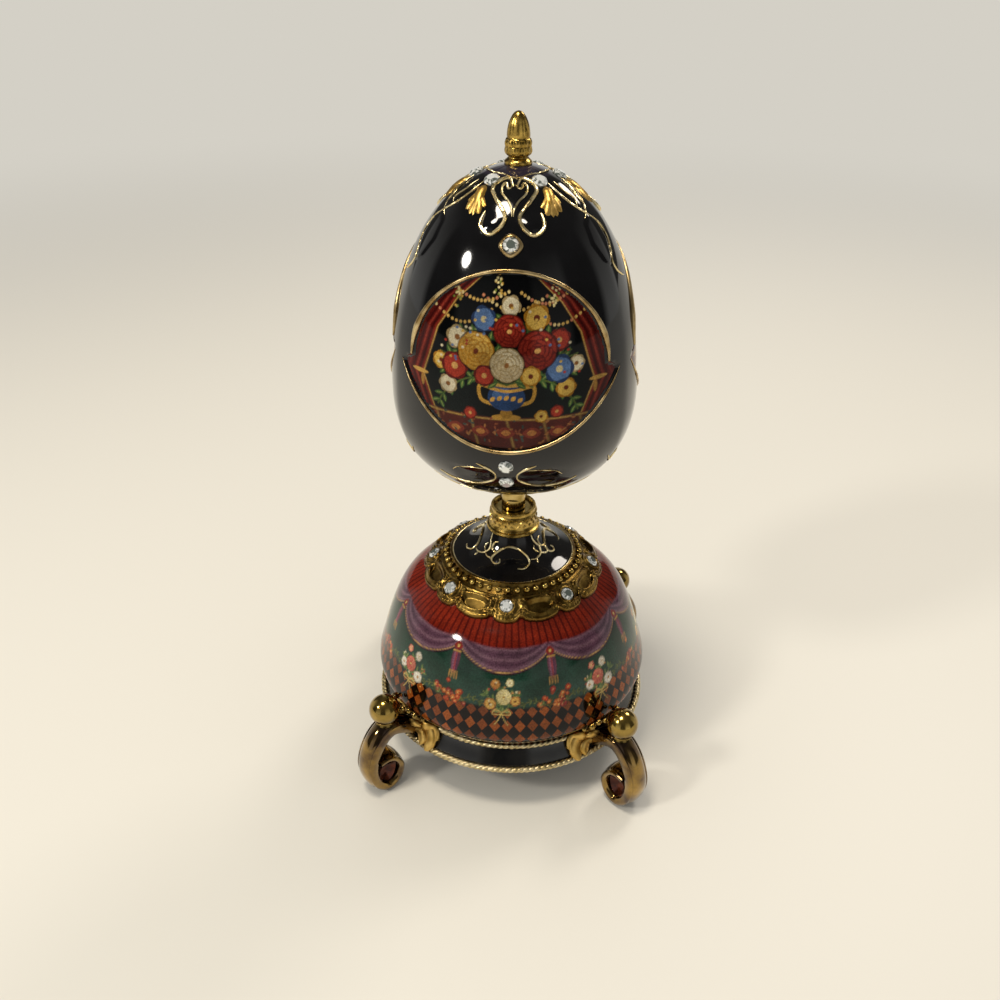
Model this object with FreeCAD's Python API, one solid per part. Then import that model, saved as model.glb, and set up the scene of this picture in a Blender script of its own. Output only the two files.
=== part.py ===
import FreeCAD, Part
import math
import os

# A porcelain musical egg: a black three-panelled egg that turns on a slim brass spindle above a
# domed porcelain base on four gilt scroll feet, with a wind-up comb movement in the base.
# Millimetres. The origin is the middle of the resting plane, +Z is up and the front faces -Y.

os.makedirs("parts", exist_ok=True)
Vector = FreeCAD.Vector
UP = Vector(0, 0, 1)
ORIGIN = Vector(0, 0, 0)

# General fits
overrun = 5.0              # how far a cutting body runs past what it cuts
running_gap = 0.05         # radial clearance of a shaft in its bore
thrust_gap = 0.3           # axial clearance between turning and still faces
slack = 0.1                # clearance of a part laid into its recess

# Plinth, the black cast ring that carries the dome and the feet
plinth_bottom_z = 14.3
plinth_top_z = 20.6
plinth_top_r = 38.2
plinth_flare = 3.8
plinth_bottom_r = plinth_top_r + plinth_flare
plinth_wall = 3.6
plinth_flange_w = 3.1
plinth_seat_r = plinth_top_r - plinth_wall
plinth_flange_r = plinth_seat_r - plinth_flange_w
plinth_flange_t = 2.0
rope_r = 0.9
rope_proud = 0.3
upper_rope_ring_r = plinth_top_r + rope_proud
lower_rope_ring_r = plinth_bottom_r + rope_proud

# Dome
dome_overhang = 4.5         # how far the dome's belly stands over the plinth's top edge
dome_widest_r = plinth_top_r + dome_overhang
dome_cone_z = 57.6         # where the shoulder turns into the straight cone under the collar
dome_shoulder_w = 14.5
dome_cone_r = dome_widest_r - dome_shoulder_w
dome_top_z = 64.6
dome_top_r = 18.0
dome_mouth_r = 13.5
dome_wall = 2.4
dome_side_shares = [(0.890, 0.0), (0.917, 0.048), (0.960, 0.112), (0.991, 0.165), (0.999, 0.215),
                    (0.990, 0.275), (0.967, 0.362), (0.920, 0.551), (0.867, 0.719), (0.810, 0.846),
                    (0.740, 0.935)]

# Gilt collar on the shoulder
collar_r = 27.4
collar_inner_r = 18.4
collar_rim_z = 66.2
collar_rim_w = 0.7
collar_t = 1.45
collar_edge_shares = [(0.0, 1.0), (0.13, 0.985), (0.21, 0.95), (0.29, 0.978), (0.5, 1.0),
                      (0.71, 0.978), (0.79, 0.95), (0.87, 0.985)]
collar_lobes = 8
bead_ring_r = 20.3
bead_r = 0.72
bead_count = 46
well_ring_r = 24.4
well_r = 0.9
well_span = 17.0

# Crystals, round foil-backed stones of 3.9 mm and their settings
crystal_r = 1.95
crystal_table_share = 0.6
crystal_crown_h = 0.75
crystal_girdle_h = 0.3
crystal_sink = 0.6
setting_wall = 0.4
setting_h = 0.45
collar_gem_r = 24.2

# Neck, ferrule and bush
neck_foot_r = 18.3
neck_foot_h = 1.4
neck_top_r = 7.9
neck_top_z = 74.5
neck_bore_r = 5.0
neck_curve_shares = [(0.66, 0.17), (0.35, 0.43), (0.13, 0.71)]
ferrule_top_z = 81.8
ferrule_rim_r = 6.7
ferrule_band_r = 6.9
ferrule_flange_r = 8.0
ferrule_flange_h = 1.0
ferrule_recess_r = 5.7
ferrule_recess_h = 1.2
bush_bottom_z = 66.5
bush_rim_h = 0.3

# Feet
foot_count = 4
foot_first_angle = 45.0
foot_w = 8.0
foot_root_out = 1.8
foot_root_r = plinth_top_r + foot_root_out     # where the scroll's middle line leaves the plinth
foot_reach = 17.3          # from the root to the outermost point of the middle line
foot_h = 23.2              # height of the middle line's crown over the resting plane
# Each row: outward share of the reach, height share, half thickness share of the full one
foot_half_t = 2.7
foot_line_shares = [(0.0, 0.76, 0.80), (0.25, 0.905, 0.85), (0.52, 0.985, 0.96), (0.77, 0.885, 1.0),
                    (0.95, 0.66, 1.0), (1.0, 0.42, 0.92), (0.90, 0.20, 0.84), (0.71, 0.082, 0.78),
                    (0.53, 0.165, 0.70), (0.475, 0.32, 0.62), (0.57, 0.455, 0.56), (0.72, 0.42, 0.50),
                    (0.72, 0.31, 0.44)]
foot_samples = 4
ball_r = 4.1
ball_out = 10.2
ball_ring_r = foot_root_r + ball_out
ball_z = 29.6
ball_neck_r = 2.2
pearl_r = 1.1
pearl_turn = 7.0
pearl_up = 6.0             # from the plinth's top edge to the middle of a pearl
leaf_t = 0.9
leaf_span = 10.5           # tangential reach of a leaf from the foot's middle plane
leaf_shares = [(0.30, 0.98), (0.50, 0.99), (0.72, 0.88), (0.86, 0.95), (1.0, 0.66), (0.90, 0.52),
               (0.97, 0.30), (0.80, 0.03), (0.66, 0.22), (0.64, 0.42), (0.50, 0.56), (0.30, 0.60)]

# Egg
egg_bottom_z = 91.5
egg_middle_z = 122.0
egg_top_z = 178.8
egg_ridge_r = 34.0
egg_offset = 2.6           # how far each panel's turning centre lies behind the egg's axis
egg_low_power = 2.2
egg_high_power = 2.12
egg_wall = 3.4
egg_foot_r = 6.5
egg_cap_r = 3.2
egg_samples = 22
panel_count = 3
pocket_depth = 0.6
rim_w = 1.3
rim_proud = 0.7
upper_rim_top_z = 160.0
upper_rim_half_w = 24.3
upper_rim_end_z = 137.5
lower_rim_bottom_z = 116.6
lower_rim_half_w = 27.1
lower_rim_end_z = 135.2
cap_gem_z = 176.4
cap_gem_turn = 34.0
brow_gem_z = 165.0
chin_gem_z = 112.0
foot_gem_z = 106.2
bezel_r = 2.95
bezel_h = 0.8

# Finial and the rod that clamps the egg
finial_base_r = 3.4
finial_h = 12.0
finial_shares = [(0.97, 0.07), (0.76, 0.15), (0.92, 0.20), (0.94, 0.46), (0.82, 0.50), (0.76, 0.68),
                 (0.47, 0.90), (0.12, 0.99)]
tie_rod_r = 1.2
nut_r = 4.0
nut_h = 2.6
washer_t = 1.0
washer_r = 5.0

# Spindle
spindle_r = 3.5
journal_r = 3.0
spindle_flange_r = 6.0
spindle_flange_t = 0.9
spindle_flat = 0.5

# Movement: bedplate, bridge and shafts
cover_t = 1.4
cover_key_hole_r = 5.0
cover_screw_in = 0.6
cover_screw_ring_r = plinth_seat_r - cover_screw_in
screw_r = 0.9
screw_head_r = 1.6
screw_head_h = 0.9
bedplate_t = 1.5
bedplate_gap = 1.2
bedplate_play = 0.5
bedplate_r = plinth_flange_r - bedplate_play
bedplate_front_y = -27.0
bedplate_side_x = 29.5
cylinder_axis_z = 28.0
cylinder_r = 6.0
cylinder_left_x = -12.0
cylinder_right_x = 8.0
cylinder_arbor_r = 1.5
pin_r = 0.25
pin_h = 0.4
pin_rows = 18
pins_per_row = 7
gear_module = 0.5
spindle_teeth = 24
great_teeth = 48
crown_module = 0.6
crown_teeth = 36
crown_tooth_w = 2.6
cylinder_pinion_teeth = 24
train_wheel_teeth = 32
governor_pinion_teeth = 8
tooth_w_share = 0.36       # a tooth's width at the pitch line, as a share of the pitch
gear_w = 2.4
spindle_gear_z = 39.5
barrel_r = 10.2
barrel_bottom_z = 21.0
barrel_h = 12.4
barrel_wall = 0.8
barrel_hub_r = 4.0
arbor_r = 1.5
arbor_collar_r = 2.6
spring_t = 0.35
spring_turns = 5
spring_side_gap = 0.6
ratchet_teeth = 16
ratchet_r = 5.6
ratchet_depth = 0.9
ratchet_t = 1.2
bridge_bottom_z = 43.2
bridge_t = 1.6
bridge_post_r = 2.0
bridge_post_x = 14.5
bridge_post_y = 25.0
bridge_margin = 3.2
bracket_t = 1.4
bracket_half_w = 4.5
bracket_foot_l = 5.0
bracket_head_h = 4.0
comb_t = 0.7
comb_tooth_w = 0.75
comb_gap = 0.3
comb_base_front_y = -25.0
comb_base_back_y = -17.5
comb_bar_l = 24.0
governor_y = 8.0
governor_z = 34.0
governor_shaft_r = 0.8
governor_fan_r = 3.6
governor_fan_t = 0.5
governor_ear_t = 1.2
governor_ear_half_w = 2.4
governor_right_x = -16.4
governor_left_x = -27.6

# Winding key
key_bottom_z = 3.0
key_top_z = 11.0
key_half_w = 9.5
key_t = 2.0
key_hole_r = 1.6
key_socket_r = 3.2
key_socket_h = 3.5

# Derived sizes
plinth_h = plinth_top_z - plinth_bottom_z
cone_slope = (dome_top_z - dome_cone_z) / (dome_cone_r - dome_top_r)
cone_tilt = math.degrees(math.atan(cone_slope))
cover_bottom_z = plinth_bottom_z
cover_top_z = cover_bottom_z + cover_t
flange_bottom_z = cover_top_z + slack
bedplate_bottom_z = cover_top_z + bedplate_gap
bedplate_top_z = bedplate_bottom_z + bedplate_t
ferrule_disc_z = ferrule_top_z - ferrule_recess_h
bush_r = neck_bore_r - running_gap
bush_top_z = ferrule_disc_z + bush_rim_h
shoulder_z = bush_top_z + thrust_gap
pinion_pitch_r = crown_module * cylinder_pinion_teeth / 2
crown_pitch_r = crown_module * crown_teeth / 2
crown_pitch_z = cylinder_axis_z + pinion_pitch_r
crown_disc_bottom_z = crown_pitch_z + crown_module * 1.5
great_pitch_r = gear_module * great_teeth / 2
spindle_pitch_r = gear_module * spindle_teeth / 2
barrel_y = great_pitch_r + spindle_pitch_r
barrel_top_z = barrel_bottom_z + barrel_h
bridge_top_z = bridge_bottom_z + bridge_t
spindle_bottom_z = crown_disc_bottom_z


def cone_z(radius):
    """Height of the dome's straight shoulder at a radius."""
    return dome_top_z - cone_slope * (radius - dome_top_r)


def spline(points):
    """Smooth edge through points."""
    curve = Part.BSplineCurve()
    curve.interpolate(points)
    return curve.toShape()


def spread(share_row, low_x, high_x, low_z, high_z):
    """A point of a table of shares between two corners of the turning plane."""
    x = low_x + share_row[0] * (high_x - low_x)
    z = low_z + share_row[1] * (high_z - low_z)
    return Vector(x, 0, z)


def polygon(points):
    """Closed flat face on straight edges."""
    return Part.Face(Part.makePolygon(points + [points[0]]))


def turned(profile, grooves=()):
    """Solid of revolution about Z from (radius, height) pairs, less flat groove sections."""
    return turned_face(polygon([Vector(r, 0, z) for r, z in profile]), grooves)


def turned_edges(edges, grooves=()):
    """Solid of revolution about Z from a closed row of edges, less flat groove sections."""
    return turned_face(Part.Face(Part.Wire(edges)), grooves)


def turned_face(face, grooves):
    """Solid of revolution about Z from a flat face, less flat groove sections."""
    for groove in grooves:
        face = max(face.cut(groove).Faces, key=lambda part: part.Area)
    return face.revolve(ORIGIN, UP, 360)


def tube(outer_r, inner_r, bottom_z, top_z):
    """Plain ring about Z."""
    return turned([(inner_r, bottom_z), (outer_r, bottom_z), (outer_r, top_z), (inner_r, top_z)])


def rod(radius, bottom_z, top_z):
    """Plain round bar about Z."""
    return Part.makeCylinder(radius, top_z - bottom_z, Vector(0, 0, bottom_z))


def rod_x(radius, left_x, right_x, y, z):
    """Plain round bar along X."""
    return Part.makeCylinder(radius, right_x - left_x, Vector(left_x, y, z), Vector(1, 0, 0))


def block(low, high):
    """Box between two corners."""
    size = [high[i] - low[i] for i in range(3)]
    return Part.makeBox(size[0], size[1], size[2], Vector(*low))


def spun(shape, angle):
    """Copy turned about Z."""
    copy = shape.copy()
    copy.rotate(ORIGIN, UP, angle)
    return copy


def moved(shape, x, y, z):
    """Copy shifted."""
    copy = shape.copy()
    copy.translate(Vector(x, y, z))
    return copy


def ring_of(shape, count, first_angle=0.0):
    """Copies evenly about Z."""
    return [spun(shape, first_angle + 360.0 * i / count) for i in range(count)]


def cut_all(shape, tools):
    """Shape less each tool."""
    for tool in tools:
        shape = shape.cut(tool)
    return shape


def inset(points, distance):
    """Points shifted to the left of the way they run, in the turning plane."""
    shifted = []
    for i, point in enumerate(points):
        before = points[max(i - 1, 0)]
        after = points[min(i + 1, len(points) - 1)]
        run = (after - before).normalize()
        shifted.append(point + Vector(-run.z, 0, run.x) * distance)
    return shifted


def save(node, shapes):
    """Write one node's solids."""
    solids = []
    for shape in shapes:
        solids += shape.removeSplitter().Solids
    for solid in solids:
        if not solid.isValid() or solid.Volume <= 0:
            raise ValueError("bad solid in " + node)
    whole = solids[0] if len(solids) == 1 else Part.makeCompound(solids)
    whole.exportStep("parts/" + node + ".step")
    print(node, len(solids), round(sum(s.Volume for s in solids), 1))


# Plinth, ropes and dome


def rope_sections():
    """Round sections of the upper and the lower rope in the turning plane."""
    centres = [Vector(upper_rope_ring_r, 0, plinth_top_z + rope_r * 0.3),
               Vector(lower_rope_ring_r, 0, plinth_bottom_z + rope_r * 0.7)]
    return [Part.Face(Part.Wire(Part.makeCircle(rope_r, centre, Vector(0, 1, 0)))) for centre in centres]


def make_ropes():
    """The two rope trims as plain rings."""
    return [section.revolve(ORIGIN, UP, 360) for section in rope_sections()]


def plinth_outline():
    """Outer flare of the plinth from the top down, as (radius, height)."""
    flare = plinth_bottom_r - plinth_top_r
    return [(plinth_top_r, plinth_top_z), (plinth_top_r + flare * 0.26, plinth_top_z - plinth_h * 0.3),
            (plinth_top_r + flare * 0.66, plinth_top_z - plinth_h * 0.66), (plinth_bottom_r, plinth_bottom_z)]


def make_plinth():
    """Cast ring with an inner flange that the cover screws into."""
    flange_top_z = flange_bottom_z + plinth_flange_t
    recess_r = plinth_seat_r + plinth_flange_t
    inner = [(recess_r, plinth_bottom_z), (recess_r, flange_bottom_z), (plinth_flange_r, flange_bottom_z),
             (plinth_flange_r, flange_top_z), (plinth_seat_r, flange_top_z), (plinth_seat_r, plinth_top_z)]
    ring = turned(plinth_outline() + inner, rope_sections())
    holes = ring_of(moved(rod(screw_r, cover_bottom_z, flange_top_z + overrun), 0, -cover_screw_ring_r, 0),
                    foot_count)
    return cut_all(ring, holes)


def dome_outer_points():
    """Side of the dome from its seat up to the end of the cone."""
    side = [spread(row, 0, dome_widest_r, plinth_top_z, dome_cone_z) for row in dome_side_shares]
    return side + [Vector(dome_cone_r, 0, dome_cone_z)]


def make_dome():
    """Hollow porcelain dome, open below and at the neck."""
    outer = dome_outer_points()
    inner = inset(outer, dome_wall)
    inner[0] = outer[0] - Vector(dome_wall, 0, 0)
    cone_normal = Vector(cone_slope, 0, 1).normalize()
    outer_top = Vector(dome_top_r, 0, dome_top_z)
    inner_top = Vector(dome_mouth_r, 0, cone_z(dome_mouth_r) - dome_wall / cone_normal.z)
    mouth = Vector(dome_mouth_r, 0, dome_top_z)
    edges = [spline(outer), Part.makeLine(outer[-1], outer_top), Part.makeLine(outer_top, mouth),
             Part.makeLine(mouth, inner_top), Part.makeLine(inner_top, inner[-1]),
             spline(inner[::-1]), Part.makeLine(inner[0], outer[0])]
    return turned_edges(edges, rope_sections())


# Crystals


def crystal_blank():
    """A round stone standing on the origin, its flat back sunk below it."""
    low = -crystal_sink
    girdle = low + crystal_sink + crystal_girdle_h
    return turned([(0, low), (crystal_r, low), (crystal_r, girdle),
                   (crystal_r * crystal_table_share, girdle + crystal_crown_h), (0, girdle + crystal_crown_h)])


def setting_blank(radius, height):
    """Round metal cup wall under a stone."""
    return rod(radius, -crystal_sink * 0.8, height)


def placed(shape, point, normal):
    """Copy whose Z axis lies along a normal at a point."""
    copy = shape.copy()
    copy.Placement = FreeCAD.Placement(point, FreeCAD.Rotation(UP, normal))
    return copy


# Gilt collar


def collar_top_z(radius):
    """Height of the collar's top on its straight slope."""
    return cone_z(radius) + collar_t / math.cos(math.radians(cone_tilt))


def scallop_edge(lobe, pitch):
    """One lobe of the collar's edge, from a stone to the next."""
    points = []
    for turn_share, radius_share in collar_edge_shares + [(1.0, 1.0)]:
        angle = math.radians((lobe + turn_share) * pitch - 90)
        points.append(Vector(math.cos(angle), math.sin(angle), 0) * (collar_r * radius_share))
    return spline(points)


def make_collar():
    """Scalloped gilt collar with eight settings, eight cartouche wells and a bead ring."""
    rim_r = collar_inner_r + collar_rim_w
    step_r = bead_ring_r + bead_r * 0.9
    blank_r = collar_r + collar_t * 0.3
    body = turned([(collar_inner_r, cone_z(collar_inner_r)), (collar_inner_r, collar_rim_z),
                   (rim_r, collar_rim_z), (bead_ring_r - bead_r, collar_top_z(bead_ring_r)),
                   (step_r, collar_top_z(bead_ring_r) - bead_r * 0.4),
                   (blank_r, collar_top_z(blank_r) - collar_t * 0.2), (blank_r, cone_z(blank_r))])
    pitch = 360.0 / collar_lobes
    scallop = Part.Face(Part.Wire([scallop_edge(lobe, pitch) for lobe in range(collar_lobes)]))
    scallop.translate(Vector(0, 0, dome_cone_z - overrun))
    body = body.common(scallop.extrude(UP * (collar_rim_z - dome_cone_z + 2 * overrun)))
    normal = Vector(0, -cone_slope, 1).normalize()
    seat = Vector(0, -collar_gem_r, collar_top_z(collar_gem_r))
    cups = ring_of(placed(setting_blank(crystal_r + setting_wall, setting_h), seat, normal), collar_lobes)
    crystals = ring_of(placed(crystal_blank(), seat, normal), collar_lobes)
    well = Part.makeTorus(well_ring_r, well_r, Vector(0, 0, collar_top_z(well_ring_r)), UP, 0, 360, well_span)
    wells = ring_of(well, collar_lobes, -90 + pitch / 2 - well_span / 2)
    bead = Part.makeSphere(bead_r, Vector(0, -bead_ring_r, collar_top_z(bead_ring_r)))
    body = cut_all(body, wells)
    body = body.fuse(cups)
    body = cut_all(body, crystals)
    body = body.fuse(ring_of(bead, bead_count))
    return body, crystals


# Neck, ferrule and bush


def make_neck():
    """Concave black porcelain neck."""
    foot_top_z = dome_top_z + neck_foot_h
    foot = Vector(neck_foot_r, 0, foot_top_z)
    top = Vector(neck_top_r, 0, neck_top_z)
    curve = [foot]
    for row in neck_curve_shares:
        curve.append(spread(row, neck_top_r, neck_foot_r, foot_top_z, neck_top_z))
    curve.append(top)
    corner_low = Vector(neck_foot_r, 0, dome_top_z)
    bore_low = Vector(dome_mouth_r, 0, dome_top_z)
    bore_mid = Vector(neck_bore_r, 0, dome_top_z + neck_foot_h)
    bore_top = Vector(neck_bore_r, 0, neck_top_z)
    edges = [Part.makeLine(corner_low, foot), spline(curve), Part.makeLine(top, bore_top),
             Part.makeLine(bore_top, bore_mid), Part.makeLine(bore_mid, bore_low),
             Part.makeLine(bore_low, corner_low)]
    return turned_edges(edges)


def make_ferrule():
    """Brass ferrule with a flange, a plain band and a recessed top disc."""
    band_low_z = neck_top_z + ferrule_flange_h * 2
    band_top_z = ferrule_top_z - ferrule_recess_h
    return turned([(bush_r, neck_top_z), (neck_top_r, neck_top_z),
                   (ferrule_flange_r, neck_top_z + ferrule_flange_h * 0.6),
                   (neck_top_r, neck_top_z + ferrule_flange_h), (ferrule_band_r, band_low_z),
                   (ferrule_band_r, band_top_z), (ferrule_rim_r, ferrule_top_z),
                   (ferrule_recess_r, ferrule_top_z), (ferrule_recess_r, ferrule_disc_z),
                   (bush_r, ferrule_disc_z)])


def make_bush():
    """Bearing bush of the spindle inside the neck and ferrule."""
    return tube(bush_r, journal_r + running_gap, bush_bottom_z, bush_top_z)


# Feet


def foot_outline():
    """Both sides of the scroll ribbon as points in the radial plane."""
    rows = foot_line_shares
    middle = spline([Vector(foot_root_r + a * foot_reach, 0, b * foot_h) for a, b, c in rows]).Curve
    knots = [middle.parameter(Vector(foot_root_r + a * foot_reach, 0, b * foot_h)) for a, b, c in rows]
    upper = []
    lower = []
    for i in range(len(rows) - 1):
        for step in range(foot_samples):
            share = step / foot_samples
            upper_lower_pair(middle, knots, rows, i, share, upper, lower)
    upper_lower_pair(middle, knots, rows, len(rows) - 2, 1.0, upper, lower)
    return upper, lower


def upper_lower_pair(middle, knots, rows, span, share, upper, lower):
    """Add the two side points at one place of the scroll's middle line."""
    place = knots[span] + (knots[span + 1] - knots[span]) * share
    half = foot_half_t * (rows[span][2] + (rows[span + 1][2] - rows[span][2]) * share)
    point = middle.value(place)
    run = Vector(*middle.tangent(place)[0])
    side = Vector(-run.z, 0, run.x)
    upper.append(point + side * half)
    lower.append(point - side * half)


def make_foot(plinth_body, dome, lower_rope):
    """One gilt scroll foot at +X, before it is turned to its corner."""
    upper, lower = foot_outline()
    edges = [spline(upper), Part.makeLine(upper[-1], lower[-1]), spline(lower[::-1]),
             Part.makeLine(lower[0], upper[0])]
    face = Part.Face(Part.Wire(edges))
    face.translate(Vector(0, -foot_w / 2, 0))
    ribbon = face.extrude(Vector(0, foot_w, 0))
    neck = moved(rod(ball_neck_r, foot_h, ball_z), ball_ring_r, 0, 0)
    foot = ribbon.fuse(neck)
    floor = Part.makeBox(foot_reach * 3, foot_w * 2, foot_w, Vector(foot_root_r, -foot_w, -foot_w))
    foot = cut_all(foot, [floor, plinth_body, dome, lower_rope, make_ball()])
    return largest(foot)


def largest(shape):
    """The largest solid of a shape."""
    return max(shape.Solids, key=lambda solid: solid.Volume)


def make_ball():
    """Gilt ball over a foot at +X."""
    return Part.makeSphere(ball_r, Vector(ball_ring_r, 0, ball_z))


def make_leaves(foot):
    """The two acanthus leaves beside a foot at +X, lying on the plinth's flare."""
    outline = plinth_outline()
    skin = turned(outline + [(r + leaf_t, z) for r, z in outline[::-1]])
    leaves = []
    for hand in (-1, 1):
        points = []
        for across, up in leaf_shares:
            points.append(Vector(plinth_top_r - overrun, hand * across * leaf_span,
                                 plinth_bottom_z + up * plinth_h))
        prism = polygon(points).extrude(Vector(overrun * 3, 0, 0))
        leaves.append(skin.common(prism).cut(foot))
    return leaves


def make_pearls(dome, upper_rope):
    """Two small pearls beside the root of a foot at +X."""
    pearl = Part.makeSphere(pearl_r, Vector(dome_widest_r, 0, plinth_top_z + pearl_up))
    return [spun(pearl, hand * pearl_turn).cut(dome).cut(upper_rope) for hand in (-1, 1)]


# Egg


def ridge_radius(z):
    """Radius of the egg's ridge at a height."""
    low = z < egg_middle_z
    half_h = egg_middle_z - egg_bottom_z if low else egg_top_z - egg_middle_z
    power = egg_low_power if low else egg_high_power
    share = abs(z - egg_middle_z) / half_h
    return egg_ridge_r * max(0.0, 1 - share ** power) ** (1 / power)


def panel_radius(ridge):
    """Turning radius of a panel about its own centre for a ridge radius."""
    return math.sqrt(ridge ** 2 + ridge * egg_offset + egg_offset ** 2)


def height_at(ridge, upper):
    """Height at which the ridge has a radius, above or below the middle."""
    half_h = egg_top_z - egg_middle_z if upper else egg_middle_z - egg_bottom_z
    power = egg_high_power if upper else egg_low_power
    share = (1 - (ridge / egg_ridge_r) ** power) ** (1 / power)
    return egg_middle_z + (half_h if upper else -half_h) * share


def egg_profile(growth):
    """Panel profile points from bottom to top, grown outward by a distance."""
    points = []
    for i in range(egg_samples + 1):
        turn = -1 + 2 * i / egg_samples
        upper = turn > 0
        limit = egg_cap_r if upper else egg_foot_r
        ridge = limit + (egg_ridge_r - limit) * math.cos(turn * math.pi / 2) ** 0.93
        ridge = min(ridge, egg_ridge_r)
        points.append(Vector(panel_radius(ridge), 0, height_at(ridge, upper)))
    return inset(points, -growth) if growth else points


def egg_body(growth):
    """Three-panelled egg, grown by a distance, between its own flat ends."""
    points = egg_profile(growth)
    bottom = Vector(0, 0, points[0].z)
    top = Vector(0, 0, points[-1].z)
    edges = [Part.makeLine(bottom, points[0]), spline(points), Part.makeLine(points[-1], top),
             Part.makeLine(top, bottom)]
    panel = moved(turned_edges(edges), 0, egg_offset, 0)
    body = panel
    for turn in range(1, panel_count):
        body = body.common(spun(panel, 360.0 * turn / panel_count))
    return body


def egg_place(z, angle):
    """Point and outward normal of the front panel at a height and an angle from its middle."""
    turn = math.radians(angle)
    rho = panel_radius(ridge_radius(z))
    step = crystal_r * 0.1
    slope = (panel_radius(ridge_radius(z + step)) - panel_radius(ridge_radius(z - step))) / (2 * step)
    reach = -egg_offset * math.cos(turn) + math.sqrt(rho ** 2 - (egg_offset * math.sin(turn)) ** 2)
    point = Vector(reach * math.sin(turn), -reach * math.cos(turn), z)
    normal = Vector(point.x, point.y - egg_offset, 0) / rho - Vector(0, 0, slope)
    return point, normal.normalize()


def arc_edge(half_w, end_z, peak_z):
    """Arc through two level ends and a peak, in the plane of a panel's front view."""
    left = Vector(-half_w, 0, end_z)
    right = Vector(half_w, 0, end_z)
    return Part.Arc(left, Vector(0, 0, peak_z), right).toShape()


def front_prism(face):
    """Prism of a front-view face over the front half of the egg."""
    shape = face.extrude(Vector(0, -egg_ridge_r - overrun, 0))
    return shape


def picture_face():
    """Front view of the recessed picture field."""
    upper = arc_edge(upper_rim_half_w, upper_rim_end_z, upper_rim_top_z)
    lower = arc_edge(lower_rim_half_w, lower_rim_end_z, lower_rim_bottom_z)
    left = Part.makeLine(lower.Vertexes[0].Point, upper.Vertexes[0].Point)
    right = Part.makeLine(upper.Vertexes[1].Point, lower.Vertexes[1].Point)
    return Part.Face(Part.Wire([upper, right, lower, left]))


def rim_face(half_w, end_z, peak_z):
    """Front view of a rim band of constant width along an arc."""
    out = rim_w / 2 if peak_z > end_z else -rim_w / 2
    outer = arc_edge(half_w + rim_w / 2, end_z, peak_z + out)
    inner = arc_edge(half_w - rim_w / 2, end_z, peak_z - out)
    left = Part.makeLine(outer.Vertexes[0].Point, inner.Vertexes[0].Point)
    right = Part.makeLine(inner.Vertexes[1].Point, outer.Vertexes[1].Point)
    return Part.Face(Part.Wire([outer, right, inner, left]))


def make_egg():
    """Egg shell, the gilt rims, the settings and the crystals."""
    outer = egg_body(0)
    hollow = egg_body(-egg_wall)
    rim_layer = egg_body(rim_proud).cut(egg_body(-pocket_depth))
    pocket = front_prism(picture_face()).cut(egg_body(-pocket_depth))
    upper_rim = front_prism(rim_face(upper_rim_half_w, upper_rim_end_z, upper_rim_top_z)).common(rim_layer)
    lower_rim = front_prism(rim_face(lower_rim_half_w, lower_rim_end_z, lower_rim_bottom_z)).common(rim_layer)
    crystal = crystal_blank()
    cap_gems = [placed(crystal, *egg_place(cap_gem_z, angle)) for angle in (-cap_gem_turn, cap_gem_turn)]
    brow_gem = placed(crystal, *egg_place(brow_gem_z, 0))
    bezel = placed(setting_blank(bezel_r, bezel_h), *egg_place(brow_gem_z, 0)).cut(brow_gem)
    low_gems = [placed(crystal, *egg_place(z, 0)) for z in (chin_gem_z, foot_gem_z)]
    groups = {"cap_crystals": [], "brow_crystals": [], "brow_bezels": [], "lower_crystals": [],
              "upper_picture_rims": [], "lower_picture_rims": []}
    shell = outer.cut(hollow)
    for turn in range(panel_count):
        angle = 360.0 * turn / panel_count
        pieces = {"cap_crystals": cap_gems, "brow_crystals": [brow_gem], "brow_bezels": [bezel],
                  "lower_crystals": low_gems, "upper_picture_rims": [upper_rim],
                  "lower_picture_rims": [lower_rim]}
        shell = shell.cut(spun(pocket, angle))
        for name, shapes in pieces.items():
            for shape in shapes:
                tool = spun(shape, angle)
                groups[name].append(tool)
                shell = shell.cut(tool)
    flat_low_z = egg_profile(0)[0].z
    flat_top_z = egg_profile(0)[-1].z
    shell = shell.cut(rod(journal_r + slack, flat_low_z - overrun, flat_low_z + overrun))
    shell = shell.cut(rod(tie_rod_r + slack, flat_top_z - overrun, flat_top_z + overrun))
    return largest(shell), groups


def make_finial():
    """Pointed gilt finial screwed on the tie rod."""
    base_z = egg_profile(0)[-1].z
    profile = [(0, base_z), (finial_base_r, base_z)]
    for r_share, z_share in finial_shares:
        profile.append((finial_base_r * r_share, base_z + finial_h * z_share))
    profile.append((0, base_z + finial_h))
    hole = rod(tie_rod_r, base_z - overrun, base_z + finial_h * 0.4)
    return turned(profile).cut(hole)


def make_spindle():
    """Brass spindle from the lower gears to the flange under the egg."""
    flange_top_z = egg_profile(0)[0].z
    flange_low_z = flange_top_z - spindle_flange_t
    thread_top_z = egg_profile(-egg_wall)[0].z + washer_t + nut_h
    body = turned([(0, spindle_bottom_z), (journal_r, spindle_bottom_z), (journal_r, shoulder_z),
                   (spindle_r, shoulder_z), (spindle_r, flange_low_z), (spindle_flange_r, flange_low_z),
                   (spindle_flange_r, flange_top_z), (journal_r, flange_top_z), (journal_r, thread_top_z),
                   (0, thread_top_z)])
    flat_low_z = shoulder_z + (flange_low_z - shoulder_z) / 3
    side = spindle_r + overrun
    flat = block((-side, -side, flat_low_z), (side, -spindle_r + spindle_flat, flange_low_z))
    socket = rod(tie_rod_r, thread_top_z - nut_h, thread_top_z + overrun)
    return cut_all(body, [flat, spun(flat, 180), socket]), thread_top_z


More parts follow.
